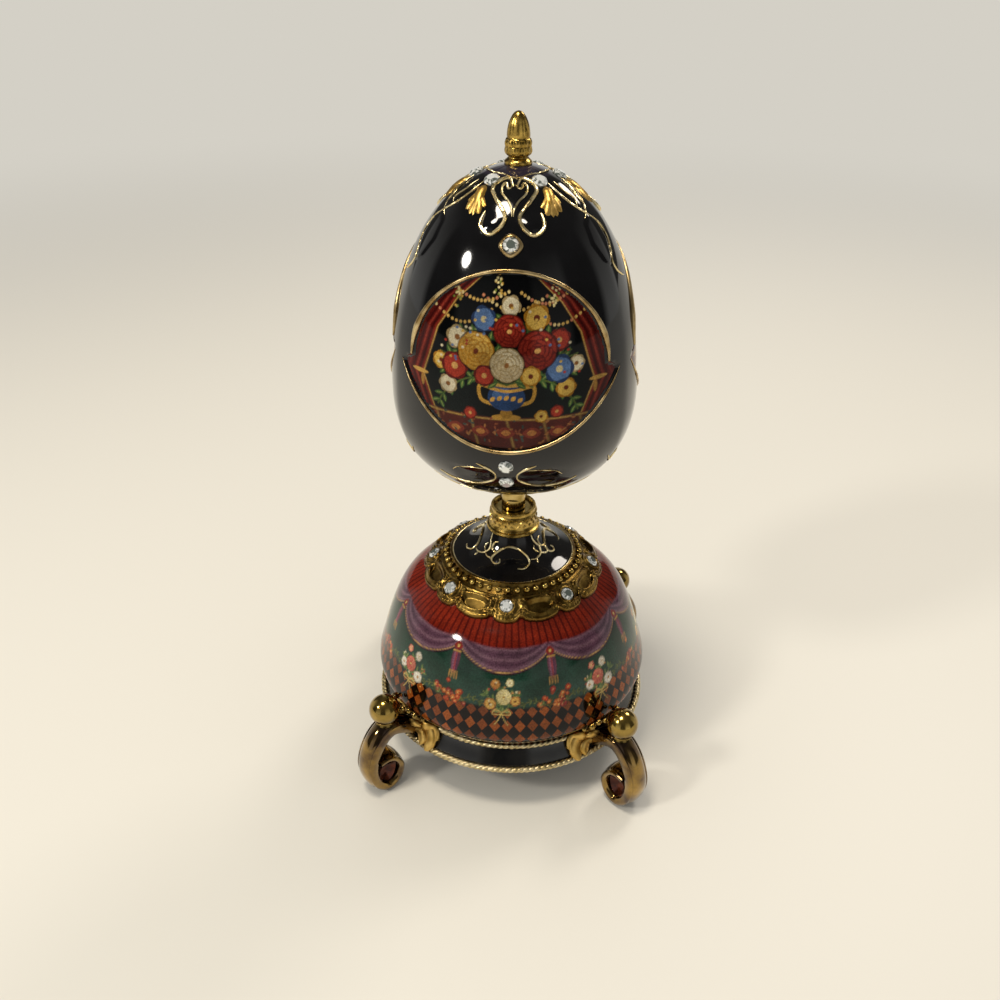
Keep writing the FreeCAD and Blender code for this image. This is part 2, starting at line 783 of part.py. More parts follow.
def make_egg_hardware(thread_top_z):
    """Washer and nut inside the egg, and the rod up to the finial."""
    floor_z = thread_top_z - nut_h - washer_t + slack / 10
    washer = tube(washer_r, journal_r, floor_z, floor_z + washer_t)
    points = []
    nut_low_z = floor_z + washer_t
    for side in range(6):
        angle = math.radians(60 * side)
        points.append(Vector(nut_r * math.cos(angle), nut_r * math.sin(angle), nut_low_z))
    nut = polygon(points).extrude(UP * nut_h).cut(rod(journal_r, floor_z, thread_top_z + overrun))
    rod_top_z = egg_profile(0)[-1].z + finial_h * 0.4
    tie_rod = rod(tie_rod_r, thread_top_z - nut_h, rod_top_z)
    return washer, nut, tie_rod


# Gears


def gear_face(module, teeth, phase):
    """Thin-toothed spur gear outline; phase is in teeth, 0 has a tooth on +X."""
    pitch_r = module * teeth / 2
    root_r = pitch_r - module * 1.1
    tip_r = pitch_r + module * 0.8
    pitch_angle = 2 * math.pi / teeth
    half = pitch_angle * tooth_w_share / 2
    points = []
    for tooth in range(teeth):
        middle = (tooth + phase) * pitch_angle
        for radius, spread_share in ((root_r, -1.5), (tip_r, -0.6), (tip_r, 0.6), (root_r, 1.5)):
            angle = middle + spread_share * half
            points.append(Vector(radius * math.cos(angle), radius * math.sin(angle), 0))
    return polygon(points)


def spur_gear(module, teeth, width, bore_r, phase=0.0):
    """Spur gear about Z with its lower face on the origin."""
    gear = gear_face(module, teeth, phase).extrude(UP * width)
    return gear.cut(rod(bore_r, -overrun, width + overrun))


def along_x(shape, x, y, z):
    """Copy with its Z axis laid along X, its origin at a point and its own X pointing up."""
    copy = shape.copy()
    turn = FreeCAD.Rotation(Vector(0, 0, 1), Vector(0, 1, 0), Vector(1, 0, 0), "ZXY")
    copy.Placement = FreeCAD.Placement(Vector(x, y, z), turn)
    return copy


def make_crown_wheel():
    """Contrate wheel under the spindle gear, its teeth pointing down."""
    inner_r = crown_pitch_r - crown_tooth_w / 2
    outer_r = crown_pitch_r + crown_tooth_w / 2
    tip_z = crown_pitch_z - crown_module * 0.7
    disc = tube(outer_r, journal_r, crown_disc_bottom_z, crown_disc_bottom_z + crown_tooth_w / 2)
    pitch = 2 * math.pi * crown_pitch_r / crown_teeth
    half = pitch * tooth_w_share / 2
    points = [Vector(inner_r, -half * 1.3, crown_disc_bottom_z), Vector(inner_r, -half * 0.6, tip_z),
              Vector(inner_r, half * 0.6, tip_z), Vector(inner_r, half * 1.3, crown_disc_bottom_z)]
    bottom_row = polygon(points).extrude(Vector(crown_tooth_w, 0, 0))
    tooth = bottom_row.common(tube(outer_r, inner_r, tip_z - overrun, crown_disc_bottom_z))
    crown = disc.fuse(ring_of(tooth, crown_teeth))
    hub = tube(journal_r * 1.8, journal_r, crown_disc_bottom_z + crown_tooth_w / 2, spindle_gear_z)
    return crown.fuse(hub)


def make_spindle_gear():
    """Spur gear on the spindle, driven by the great wheel."""
    return moved(spur_gear(gear_module, spindle_teeth, gear_w, journal_r), 0, 0, spindle_gear_z)


def make_barrel():
    """Spring barrel with its hub and the great wheel on top."""
    shell = tube(barrel_r, arbor_r + running_gap, barrel_bottom_z, barrel_top_z)
    hollow = tube(barrel_r - barrel_wall, arbor_r + running_gap - slack / 2, barrel_bottom_z + barrel_wall,
                  barrel_top_z - barrel_wall)
    shell = shell.cut(hollow)
    hub = tube(barrel_hub_r, arbor_r + running_gap, barrel_top_z, spindle_gear_z)
    phase = 0.5 if great_teeth % 4 == 0 else 0.0
    wheel = spur_gear(gear_module, great_teeth, gear_w, arbor_r + running_gap, phase)
    wheel.translate(Vector(0, 0, spindle_gear_z))
    return moved(shell.fuse(hub), 0, barrel_y, 0), moved(wheel, 0, barrel_y, 0)


def make_mainspring():
    """Coiled strip inside the barrel, hooked to its wall."""
    outer_r = barrel_r - barrel_wall - spring_side_gap
    inner_r = outer_r * 0.45
    steps = spring_turns * 16
    outside = []
    inside = []
    for i in range(steps + 1):
        share = i / steps
        angle = share * spring_turns * 2 * math.pi
        radius = inner_r + (outer_r - inner_r) * share
        ray = Vector(math.cos(angle), math.sin(angle), 0)
        outside.append(ray * radius)
        inside.append(ray * (radius - spring_t))
    face = polygon(outside + inside[::-1])
    height = barrel_h - 2 * barrel_wall - 2 * spring_side_gap
    spring = face.extrude(UP * height)
    hook = block((outer_r - spring_t, -spring_t, 0), (barrel_r - barrel_wall - slack / 5, spring_t, height))
    spring = spring.fuse(hook)
    return moved(spring, 0, barrel_y, barrel_bottom_z + barrel_wall + spring_side_gap)


def make_key():
    """Winding arbor with its ratchet wheel, and the butterfly key below the cover."""
    arbor = rod(arbor_r, key_top_z - key_socket_h, bridge_top_z)
    collar = tube(arbor_collar_r, arbor_r, bedplate_top_z + thrust_gap + ratchet_t, barrel_bottom_z - thrust_gap)
    points = []
    for tooth in range(ratchet_teeth):
        for share, radius in ((0.0, ratchet_r), (0.8, ratchet_r - ratchet_depth)):
            angle = 2 * math.pi * (tooth + share) / ratchet_teeth
            points.append(Vector(radius * math.cos(angle), radius * math.sin(angle), 0))
    ratchet = polygon(points).extrude(UP * ratchet_t).cut(rod(arbor_r, -overrun, overrun))
    ratchet.translate(Vector(0, 0, bedplate_top_z + thrust_gap))
    socket = tube(key_socket_r, arbor_r, key_top_z - key_socket_h, key_top_z)
    wing_low = Vector(0, -key_t / 2, key_bottom_z)
    wing = Part.makeBox(key_half_w * 2, key_t, key_top_z - key_socket_h - key_bottom_z,
                        wing_low - Vector(key_half_w, 0, 0))
    wing_mid_z = (key_bottom_z + key_top_z - key_socket_h) / 2
    notch_r = key_half_w * 0.4
    hole = Part.makeCylinder(key_hole_r, key_t + 2 * overrun,
                             Vector(key_half_w * 0.62, -overrun, wing_mid_z), Vector(0, 1, 0))
    notch = Part.makeCylinder(notch_r, key_t + 2 * overrun,
                              Vector(0, -overrun, key_bottom_z - notch_r * 0.3), Vector(0, 1, 0))
    wing = cut_all(wing, [hole, spun(hole, 180), notch, spun(notch, 180)])
    key = socket.fuse(wing)
    return [moved(shape, 0, barrel_y, 0) for shape in (arbor.fuse(collar), ratchet, key)]


# Cylinder, comb and governor


def make_cylinder():
    """Pinned cylinder on its arbor, with the driving pinion and the train wheel."""
    length = cylinder_right_x - cylinder_left_x
    left_face = bracket_left_x() - bracket_t
    arbor = rod_x(cylinder_arbor_r, left_face, bracket_right_x() + bracket_t, 0, cylinder_axis_z)
    drum = rod_x(cylinder_r, cylinder_left_x, cylinder_right_x, 0, cylinder_axis_z)
    drum = drum.cut(rod_x(cylinder_arbor_r, cylinder_left_x, cylinder_right_x, 0, cylinder_axis_z))
    pins = []
    for row in range(pin_rows):
        x = cylinder_left_x + length * (row + 0.5) / pin_rows
        for pin in range(pins_per_row):
            angle = 2 * math.pi * ((pin * 3 + row * 5) % 17 + 0.5) / 17
            way = Vector(0, math.sin(angle), math.cos(angle))
            foot = Vector(x, 0, cylinder_axis_z) + way * (cylinder_r - pin_h)
            pins.append(Part.makeCylinder(pin_r, 2 * pin_h, foot, way))
    drum = drum.fuse(pins)
    pinion_left = crown_pitch_r - crown_tooth_w / 2
    pinion = spur_gear(crown_module, cylinder_pinion_teeth, crown_tooth_w, cylinder_arbor_r, 0.5)
    pinion = along_x(pinion, pinion_left, 0, cylinder_axis_z)
    wheel = spur_gear(gear_module, train_wheel_teeth, gear_w, cylinder_arbor_r)
    wheel = along_x(wheel, wheel_left_x(), 0, cylinder_axis_z)
    return arbor, drum, pinion, turned_about_x(wheel, train_angle())


def turned_about_x(shape, angle):
    """Copy turned about the cylinder's axis."""
    copy = shape.copy()
    copy.rotate(Vector(0, 0, cylinder_axis_z), Vector(1, 0, 0), angle)
    return copy


def train_angle():
    """Angle about X from straight up to the line from cylinder to governor, in degrees."""
    return -math.degrees(math.atan2(governor_y, governor_z - cylinder_axis_z))


def wheel_left_x():
    """Left face of the train wheel on the cylinder."""
    return cylinder_left_x - slack - gear_w


def bracket_left_x():
    """Inner face of the cylinder's left bracket."""
    return wheel_left_x() - thrust_gap


def bracket_right_x():
    """Inner face of the cylinder's right bracket."""
    return crown_pitch_r + crown_tooth_w / 2 + thrust_gap


def make_bracket(face_x, way):
    """One upright bracket with its bore and its foot on the bedplate."""
    back_x = face_x + way * bracket_t
    foot_x = face_x + way * bracket_foot_l
    top_z = cylinder_axis_z + bracket_head_h
    upright = block((min(face_x, back_x), -bracket_half_w, bedplate_top_z),
                    (max(face_x, back_x), bracket_half_w, top_z))
    foot = block((min(face_x, foot_x), -bracket_half_w, bedplate_top_z),
                 (max(face_x, foot_x), bracket_half_w, bedplate_top_z + bracket_t))
    bore = rod_x(cylinder_arbor_r + running_gap, face_x - overrun, face_x + overrun, 0, cylinder_axis_z)
    return upright.fuse(foot).cut(bore)


def make_comb():
    """Steel comb, the brass bar under it and its screws."""
    middle_x = (cylinder_left_x + cylinder_right_x) / 2
    pitch = (cylinder_right_x - cylinder_left_x) / pin_rows
    tip_y = -(cylinder_r + pin_h + comb_gap)
    low_z = cylinder_axis_z - comb_t / 2
    left = middle_x - comb_bar_l / 2
    right = middle_x + comb_bar_l / 2
    plate = block((left, comb_base_front_y, low_z), (right, comb_base_back_y, low_z + comb_t))
    teeth = []
    for row in range(pin_rows):
        x = cylinder_left_x + pitch * (row + 0.5)
        root_y = comb_base_back_y - comb_t
        teeth.append(block((x - comb_tooth_w / 2, root_y, low_z), (x + comb_tooth_w / 2, tip_y, low_z + comb_t)))
    bar = block((left, comb_base_front_y, bedplate_top_z), (right, comb_base_back_y - comb_t, low_z))
    screws = []
    for share in (-0.36, 0.0, 0.36):
        x = middle_x + share * comb_bar_l
        y = (comb_base_front_y + comb_base_back_y) / 2
        shank = moved(rod(screw_r, low_z - screw_head_r, low_z + comb_t), x, y, 0)
        head = moved(rod(screw_head_r, low_z + comb_t, low_z + comb_t + screw_head_h), x, y, 0)
        screws.append(shank.fuse(head))
    comb = cut_all(plate.fuse(teeth), screws)
    return comb, cut_all(bar, screws), screws


def make_governor():
    """Fan shaft with its pinion, and the frame with two ears that holds it."""
    pinion_l = gear_w
    pinion = spur_gear(gear_module, governor_pinion_teeth, pinion_l, governor_shaft_r, 0.5)
    pinion = along_x(pinion, wheel_left_x(), 0, 0)
    pinion.rotate(ORIGIN, Vector(1, 0, 0), train_angle())
    pinion = moved(pinion, 0, governor_y, governor_z)
    shaft = rod_x(governor_shaft_r, governor_left_x, wheel_left_x() + pinion_l, governor_y, governor_z)
    fan_l = (governor_right_x - governor_left_x) * 0.5
    fan_left = (governor_left_x + governor_right_x - governor_ear_t) / 2 - fan_l / 2
    vane = block((fan_left, governor_y - governor_fan_t / 2, governor_z - governor_fan_r),
                 (fan_left + fan_l, governor_y + governor_fan_t / 2, governor_z + governor_fan_r))
    fan = vane.cut(rod_x(governor_shaft_r, fan_left, fan_left + fan_l, governor_y, governor_z))
    frame = None
    for ear_right in (governor_right_x, governor_left_x + governor_ear_t):
        ear = block((ear_right - governor_ear_t, governor_y - governor_ear_half_w, bedplate_top_z),
                    (ear_right, governor_y + governor_ear_half_w, governor_z + governor_ear_half_w))
        frame = ear if frame is None else frame.fuse(ear)
    foot = block((governor_left_x, governor_y - governor_ear_half_w, bedplate_top_z),
                 (governor_right_x, governor_y + governor_ear_half_w, bedplate_top_z + governor_ear_t))
    bore = rod_x(governor_shaft_r + running_gap, governor_left_x - overrun, governor_right_x + overrun,
                 governor_y, governor_z)
    return shaft, pinion, fan, frame.fuse(foot).cut(bore)


# Frame of the movement


def make_bedplate():
    """Cast bedplate on four standoffs from the cover."""
    disc = rod(bedplate_r, bedplate_bottom_z, bedplate_top_z)
    field = block((-bedplate_side_x, bedplate_front_y, bedplate_bottom_z),
                  (bedplate_side_x, bedplate_r, bedplate_top_z))
    plate = disc.common(field)
    for x, y in standoff_places():
        plate = plate.fuse(moved(rod(screw_head_r * 1.5, cover_top_z, bedplate_bottom_z), x, y, 0))
    arbor_hole = moved(rod(arbor_r + running_gap, cover_bottom_z, bedplate_top_z + overrun), 0, barrel_y, 0)
    return cut_all(plate, [arbor_hole] + make_movement_screws())


def standoff_places():
    """Where the four movement screws stand."""
    side = bedplate_side_x * 0.75
    low = bedplate_front_y * 0.65
    return [(-side, low), (side, low), (-side, -low), (side, -low)]


def make_movement_screws():
    """Screws from below through the cover into the bedplate."""
    screws = []
    for x, y in standoff_places():
        shank = rod(screw_r, cover_bottom_z, bedplate_top_z - slack)
        head = rod(screw_head_r, cover_bottom_z - screw_head_h, cover_bottom_z)
        screws.append(moved(shank.fuse(head), x, y, 0))
    return screws


def make_cover_screws():
    """Screws from below through the cover's edge into the plinth flange."""
    shank = rod(screw_r, cover_bottom_z, flange_bottom_z + plinth_flange_t)
    head = rod(screw_head_r, cover_bottom_z - screw_head_h, cover_bottom_z)
    return ring_of(moved(shank.fuse(head), 0, -cover_screw_ring_r, 0), foot_count)


def make_cover():
    """Round bottom cover with the key hole and a ring of sound slots."""
    disc = rod(plinth_seat_r + plinth_flange_t - slack, cover_bottom_z, cover_top_z)
    key_hole = moved(rod(cover_key_hole_r, cover_bottom_z - overrun, cover_top_z + overrun), 0, barrel_y, 0)
    slots = []
    for share in (-0.3, -0.1, 0.1, 0.3):
        x = share * bedplate_side_x
        slots.append(block((x - screw_r, bedplate_front_y * 0.6, cover_bottom_z - overrun),
                           (x + screw_r, bedplate_front_y * 0.2, cover_top_z + overrun)))
    return cut_all(disc, [key_hole] + slots + make_movement_screws() + make_cover_screws())


def make_bridge():
    """Bridge over the great wheel that steadies the spindle and the arbor, on two posts."""
    wide = bridge_post_x + bridge_margin
    back = bridge_post_y + bridge_margin
    front = bridge_post_y - bridge_margin
    waist = journal_r + bridge_margin
    points = [(-wide, front), (-wide, back), (wide, back), (wide, front), (waist, waist * 2),
              (waist, -waist), (-waist, -waist), (-waist, waist * 2)]
    plate = polygon([Vector(x, y, bridge_bottom_z) for x, y in points]).extrude(UP * bridge_t)
    spindle_bore = rod(journal_r + running_gap, bridge_bottom_z - overrun, bridge_top_z + overrun)
    arbor_bore = moved(rod(arbor_r + running_gap, bridge_bottom_z - overrun, bridge_top_z + overrun),
                       0, barrel_y, 0)
    posts = [moved(rod(bridge_post_r, bedplate_top_z, bridge_bottom_z), side * bridge_post_x,
                   bridge_post_y, 0) for side in (-1, 1)]
    screws = []
    for side in (-1, 1):
        shank = rod(screw_r, bridge_bottom_z - bridge_t, bridge_top_z)
        head = rod(screw_head_r, bridge_top_z, bridge_top_z + screw_head_h)
        screws.append(moved(shank.fuse(head), side * bridge_post_x, bridge_post_y, 0))
    plate = cut_all(plate, [spindle_bore, arbor_bore] + screws)
    return plate, [cut_all(post, screws) for post in posts], screws


def make_click():
    """Click pawl beside the ratchet wheel, on its own post from the bedplate."""
    post_x = ratchet_r + screw_head_r * 2
    post = rod(screw_r, bedplate_top_z, bedplate_top_z + thrust_gap + ratchet_t + screw_head_h)
    post = moved(post, post_x, barrel_y, 0)
    head_z = bedplate_top_z + thrust_gap
    tip_x = ratchet_r + thrust_gap
    pawl = polygon([Vector(tip_x, barrel_y - screw_r, head_z), Vector(post_x, barrel_y - screw_head_r, head_z),
                    Vector(post_x + screw_head_r, barrel_y, head_z),
                    Vector(post_x, barrel_y + screw_head_r, head_z)]).extrude(UP * ratchet_t)
    return post.fuse(pawl)


def build_base():
    """Everything that stands still outside the movement."""
    ropes = make_ropes()
    plinth = make_plinth()
    dome = make_dome()
    collar, crystals = make_collar()
    save("upper_rope", [ropes[0]])
    save("plinth_ring", [plinth])
    save("base_dome", [dome])
    save("gilt_collar", [collar])
    save("collar_crystals", crystals)
    save("neck_bell", [make_neck()])
    save("neck_ferrule", [make_ferrule()])
    save("spindle_bush", [make_bush()])
    foot = make_foot(plinth, dome, ropes[0])
    leaves = make_leaves(foot)
    pearls = [largest(pearl.cut(foot)) for pearl in make_pearls(dome, ropes[0])]
    names = ("foot_back_right", "foot_back_left", "foot_front_left", "foot_front_right")
    balls = []
    all_leaves = []
    all_pearls = []
    rope_low = ropes[1]
    for i, name in enumerate(names):
        angle = foot_first_angle + 360.0 * i / foot_count
        save(name, [spun(foot, angle)])
        balls.append(spun(make_ball(), angle))
        all_leaves += [spun(leaf, angle) for leaf in leaves]
        all_pearls += [spun(pearl, angle) for pearl in pearls]
        rope_low = rope_low.cut(spun(foot, angle))
    all_leaves = [leaf.cut(rope_low).cut(ropes[0]) for leaf in all_leaves]
    save("lower_rope", [rope_low])
    save("foot_balls", balls)
    save("foot_leaves", all_leaves)
    save("foot_pearls", all_pearls)


def build_movement():
    """The wind-up movement inside the dome."""
    save("bottom_cover", [make_cover()])
    save("cover_screws", make_cover_screws())
    save("movement_bedplate", [make_bedplate()])
    save("movement_screws", make_movement_screws())
    bridge, posts, bridge_screws = make_bridge()
    save("movement_bridge", [bridge])
    save("bridge_posts", posts)
    save("bridge_screws", bridge_screws)
    comb, bar, comb_screws = make_comb()
    save("comb", [comb])
    save("comb_bar", [bar])
    save("comb_screws", comb_screws)
    save("cylinder_bracket_left", [make_bracket(bracket_left_x(), -1)])
    save("cylinder_bracket_right", [make_bracket(bracket_right_x(), 1)])
    save("click", [make_click()])
    arbor, drum, pinion, wheel = make_cylinder()
    save("cylinder_arbor", [arbor])
    save("pinned_cylinder", [drum])
    save("cylinder_pinion", [pinion])
    save("train_wheel", [wheel])
    shaft, governor_pinion, fan, frame = make_governor()
    save("governor_shaft", [shaft])
    save("governor_pinion", [governor_pinion])
    save("governor_fan", [fan])
    save("governor_frame", [frame])
    barrel, great_wheel = make_barrel()
    save("spring_barrel", [barrel])
    save("great_wheel", [great_wheel])
    save("mainspring", [make_mainspring()])
    winding_arbor, ratchet, key = make_key()
    save("winding_arbor", [winding_arbor])
    save("ratchet_wheel", [ratchet])
    save("winding_key", [key])


def build_egg():
    """Everything that turns with the egg."""
    shell, groups = make_egg()
    save("egg_shell", [shell])
    for name, shapes in groups.items():
        save(name, shapes)
    save("finial", [make_finial()])
    spindle, thread_top_z = make_spindle()
    washer, nut, tie_rod = make_egg_hardware(thread_top_z)
    save("spindle", [spindle])
    save("egg_washer", [washer])
    save("egg_nut", [nut])
    save("tie_rod", [tie_rod])
    save("spindle_gear", [make_spindle_gear()])
    save("crown_wheel", [make_crown_wheel()])


build_base()
build_movement()
build_egg()
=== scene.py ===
"""Visual model of a porcelain musical egg on a gilt-footed base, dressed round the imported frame.

Sizes are in millimetres until a mesh is written, which turns them into metres.
"""

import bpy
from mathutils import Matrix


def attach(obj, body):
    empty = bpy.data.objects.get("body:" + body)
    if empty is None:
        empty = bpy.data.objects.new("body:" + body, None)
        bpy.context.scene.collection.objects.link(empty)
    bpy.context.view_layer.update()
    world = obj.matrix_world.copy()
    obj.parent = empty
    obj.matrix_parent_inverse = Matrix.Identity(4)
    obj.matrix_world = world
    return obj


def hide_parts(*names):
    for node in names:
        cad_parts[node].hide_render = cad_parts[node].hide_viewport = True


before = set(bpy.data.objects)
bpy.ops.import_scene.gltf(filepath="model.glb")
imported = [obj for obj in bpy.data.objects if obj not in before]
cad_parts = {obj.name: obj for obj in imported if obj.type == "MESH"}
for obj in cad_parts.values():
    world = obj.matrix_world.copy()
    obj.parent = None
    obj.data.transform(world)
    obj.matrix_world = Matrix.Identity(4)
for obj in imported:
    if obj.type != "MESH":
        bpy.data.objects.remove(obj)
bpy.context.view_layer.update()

import logging
import math
import random
from dataclasses import dataclass, field
from enum import Enum
from typing import Callable, Iterable, Sequence

import bmesh
import bpy
import numpy as np
from mathutils import Matrix, Vector

MM = 0.001
UP = Vector((0.0, 0.0, 1.0))
FULL_TURN = 2 * math.pi
log = logging.getLogger("egg")

Row = Sequence[float]
Rows = tuple[tuple[float, ...], ...]
Values = np.ndarray
Mesh = bmesh.types.BMesh
Tree = bpy.types.NodeTree
Node = bpy.types.Node
Socket = bpy.types.NodeSocket
Tone = Socket | tuple[float, float, float, float]


class Body(Enum):
    """Bodies of the frame that new pieces ride on."""

    BASE = "base"
    EGG = "egg"


class Slot(Enum):
    """Material slots of the record, handed along with new pieces but not set on them."""

    BLACK = "black_porcelain"
    DECORATED = "decorated_porcelain"
    ENAMEL = "black_enamel"
    ANTIQUE = "antique_gilt"
    ROPE = "rope_gilt"
    BRIGHT = "bright_gilt"
    BRASS = "polished_brass"
    CRYSTAL = "crystal"


# Colours and nodes


def colour(code: str) -> tuple[float, float, float, float]:
    """Linear colour of an sRGB hex value.

    Args:
        code: hex value with a leading hash sign.

    Returns:
        Red, green, blue and an alpha of one.
    """
    channels = [int(code[i:i + 2], 16) / 255 for i in (1, 3, 5)]
    linear = [c / 12.92 if c <= 0.04045 else ((c + 0.055) / 1.055) ** 2.4 for c in channels]
    return (linear[0], linear[1], linear[2], 1.0)


def add(tree: Tree, kind: str, inputs: dict | None = None, **settings) -> Node:
    """Add a node with its settings, and set or link its inputs.

    Args:
        tree: node tree that gets the node.
        kind: node type.
        inputs: input name or number to a value or to a socket.
        settings: properties of the node.

    Returns:
        The new node.
    """
    node = tree.nodes.new(kind)
    for name, value in settings.items():
        setattr(node, name, value)
    for key, value in (inputs or {}).items():
        if isinstance(value, Socket):
            tree.links.new(value, node.inputs[key])
        else:
            node.inputs[key].default_value = value
    return node


# Finishes


@dataclass(frozen=True)
class Finish:
    """A named surface. Subclasses build its nodes."""

    name: str

    def material(self) -> bpy.types.Material:
        """The material of this finish, made once.

        Returns:
            The material.
        """
        found = bpy.data.materials.get(self.name)
        if found:
            return found
        made = bpy.data.materials.new(self.name)
        made.use_nodes = True
        made.node_tree.nodes.clear()
        shader = self.shade(made.node_tree)
        add(made.node_tree, "ShaderNodeOutputMaterial", {"Surface": shader.outputs[0]})
        return made

    def shade(self, tree: Tree) -> Node:
        """Build the shader and return it.

        Args:
            tree: nodes of the material.

        Returns:
            The shader node.
        """
        raise NotImplementedError

    def speckle(self, tree: Tree, grain_mm: float, detail: float = 2.0) -> Socket:
        """Soft cloud pattern with a grain of a real size.

        Args:
            tree: nodes of the material.
            grain_mm: size of one cloud.
            detail: octaves of finer pattern.

        Returns:
            The pattern's value socket.
        """
        place = add(tree, "ShaderNodeTexCoord")
        cloud = add(tree, "ShaderNodeTexNoise",
                    {"Vector": place.outputs["Object"], "Scale": 1.0 / (grain_mm * MM), "Detail": detail})
        return cloud.outputs["Fac"]

    def relief(self, tree: Tree, height: Socket, depth_mm: float, strength: float) -> Socket:
        """Bumped normal of a height pattern of a real depth.

        Args:
            tree: nodes of the material.
            height: pattern value.
            depth_mm: depth of the pattern.
            strength: share of the full bump.

        Returns:
            The normal's socket.
        """
        bump = add(tree, "ShaderNodeBump", {"Height": height, "Distance": depth_mm * MM,
                                            "Strength": strength})
        return bump.outputs["Normal"]

    def blend(self, tree: Tree, share: Socket, low: float, high: float,
              first: Tone, second: Tone) -> Socket:
        """Two colours mixed where a pattern runs from low to high.

        Args:
            tree: nodes of the material.
            share: pattern value.
            low: value that shows the first colour.
            high: value that shows the second.
            first: colour or socket.
            second: colour or socket.

        Returns:
            The mixed colour's socket.
        """
        window = add(tree, "ShaderNodeMapRange", {"Value": share, "From Min": low, "From Max": high})
        mix = add(tree, "ShaderNodeMix", {"Factor": window.outputs["Result"], 6: first, 7: second},
                  data_type="RGBA")
        return mix.outputs[2]


@dataclass(frozen=True)
class Glaze(Finish):
    """Glossy glazed porcelain: fired glass over a body colour, level but never quite flat."""

    ground: str = "#08080a"
    tint: str = "#14110f"
    roughness: float = 0.07
    specular: float = 0.32
    ripple_mm: float = 5.0
    ripple_strength: float = 0.10
    coat: float = 0.3

    def colours(self, tree: Tree) -> Socket:
        """Body colour under the glaze."""
        return self.blend(tree, self.speckle(tree, self.ripple_mm * 2), 0.35, 0.65,
                          colour(self.ground), colour(self.tint))

    def shade(self, tree: Tree) -> Node:
        """Dark body under a clear, faintly rippled glaze."""
        ripple = self.relief(tree, self.speckle(tree, self.ripple_mm, 0.0), 0.05, self.ripple_strength)
        return add(tree, "ShaderNodeBsdfPrincipled",
                   {"Base Color": self.colours(tree), "Roughness": self.roughness,
                    "Specular IOR Level": self.specular, "Normal": ripple,
                    "Coat Weight": self.coat, "Coat Roughness": 0.03})


@dataclass(frozen=True)
class CapGlaze(Glaze):
    """Black glaze whose colour is painted on the piece: a violet cap, and a browner tone towards the
    bottom.
    """

    def colours(self, tree: Tree) -> Socket:
        """The painted colour with a little cloud.

        Args:
            tree: nodes of the material.

        Returns:
            The colour's socket.
        """
        paint = add(tree, "ShaderNodeAttribute", attribute_name="paint").outputs["Color"]
        cloud = self.blend(tree, self.speckle(tree, self.ripple_mm), 0.3, 0.7, colour("#d0d0d0"),
                           colour("#ffffff"))
        return add(tree, "ShaderNodeMix", {"Factor": 1.0, 6: paint, 7: cloud}, data_type="RGBA",
                   blend_type="MULTIPLY").outputs[2]


@dataclass(frozen=True)
class Print(Glaze):
    """Printed transfer under clear glaze: painted colours broken by a fine print grain."""

    grain_mm: float = 0.45
    roughness: float = 0.09
    specular: float = 0.22
    coat: float = 0.12

    def colours(self, tree: Tree) -> Socket:
        """Painted colour with print grain."""
        paint = add(tree, "ShaderNodeAttribute", attribute_name="paint").outputs["Color"]
        return self.grained(tree, paint)

    def grained(self, tree: Tree, paint: Socket) -> Socket:
        """A colour broken by grain and by broad uneven ink.

        Args:
            tree: nodes of the material.
            paint: colour before the grain.

        Returns:
            The colour's socket.
        """
        fine = self.blend(tree, self.speckle(tree, self.grain_mm, 3.0), 0.25, 0.75, colour("#a8a8a8"),
                          colour("#ffffff"))
        broad = self.blend(tree, self.speckle(tree, 7.0, 3.0), 0.3, 0.7, colour("#c4c4c4"),
                           colour("#ffffff"))
        both = add(tree, "ShaderNodeMix", {"Factor": 1.0, 6: fine, 7: broad}, data_type="RGBA",
                   blend_type="MULTIPLY").outputs[2]
        return add(tree, "ShaderNodeMix", {"Factor": 1.0, 6: paint, 7: both}, data_type="RGBA",
                   blend_type="MULTIPLY").outputs[2]


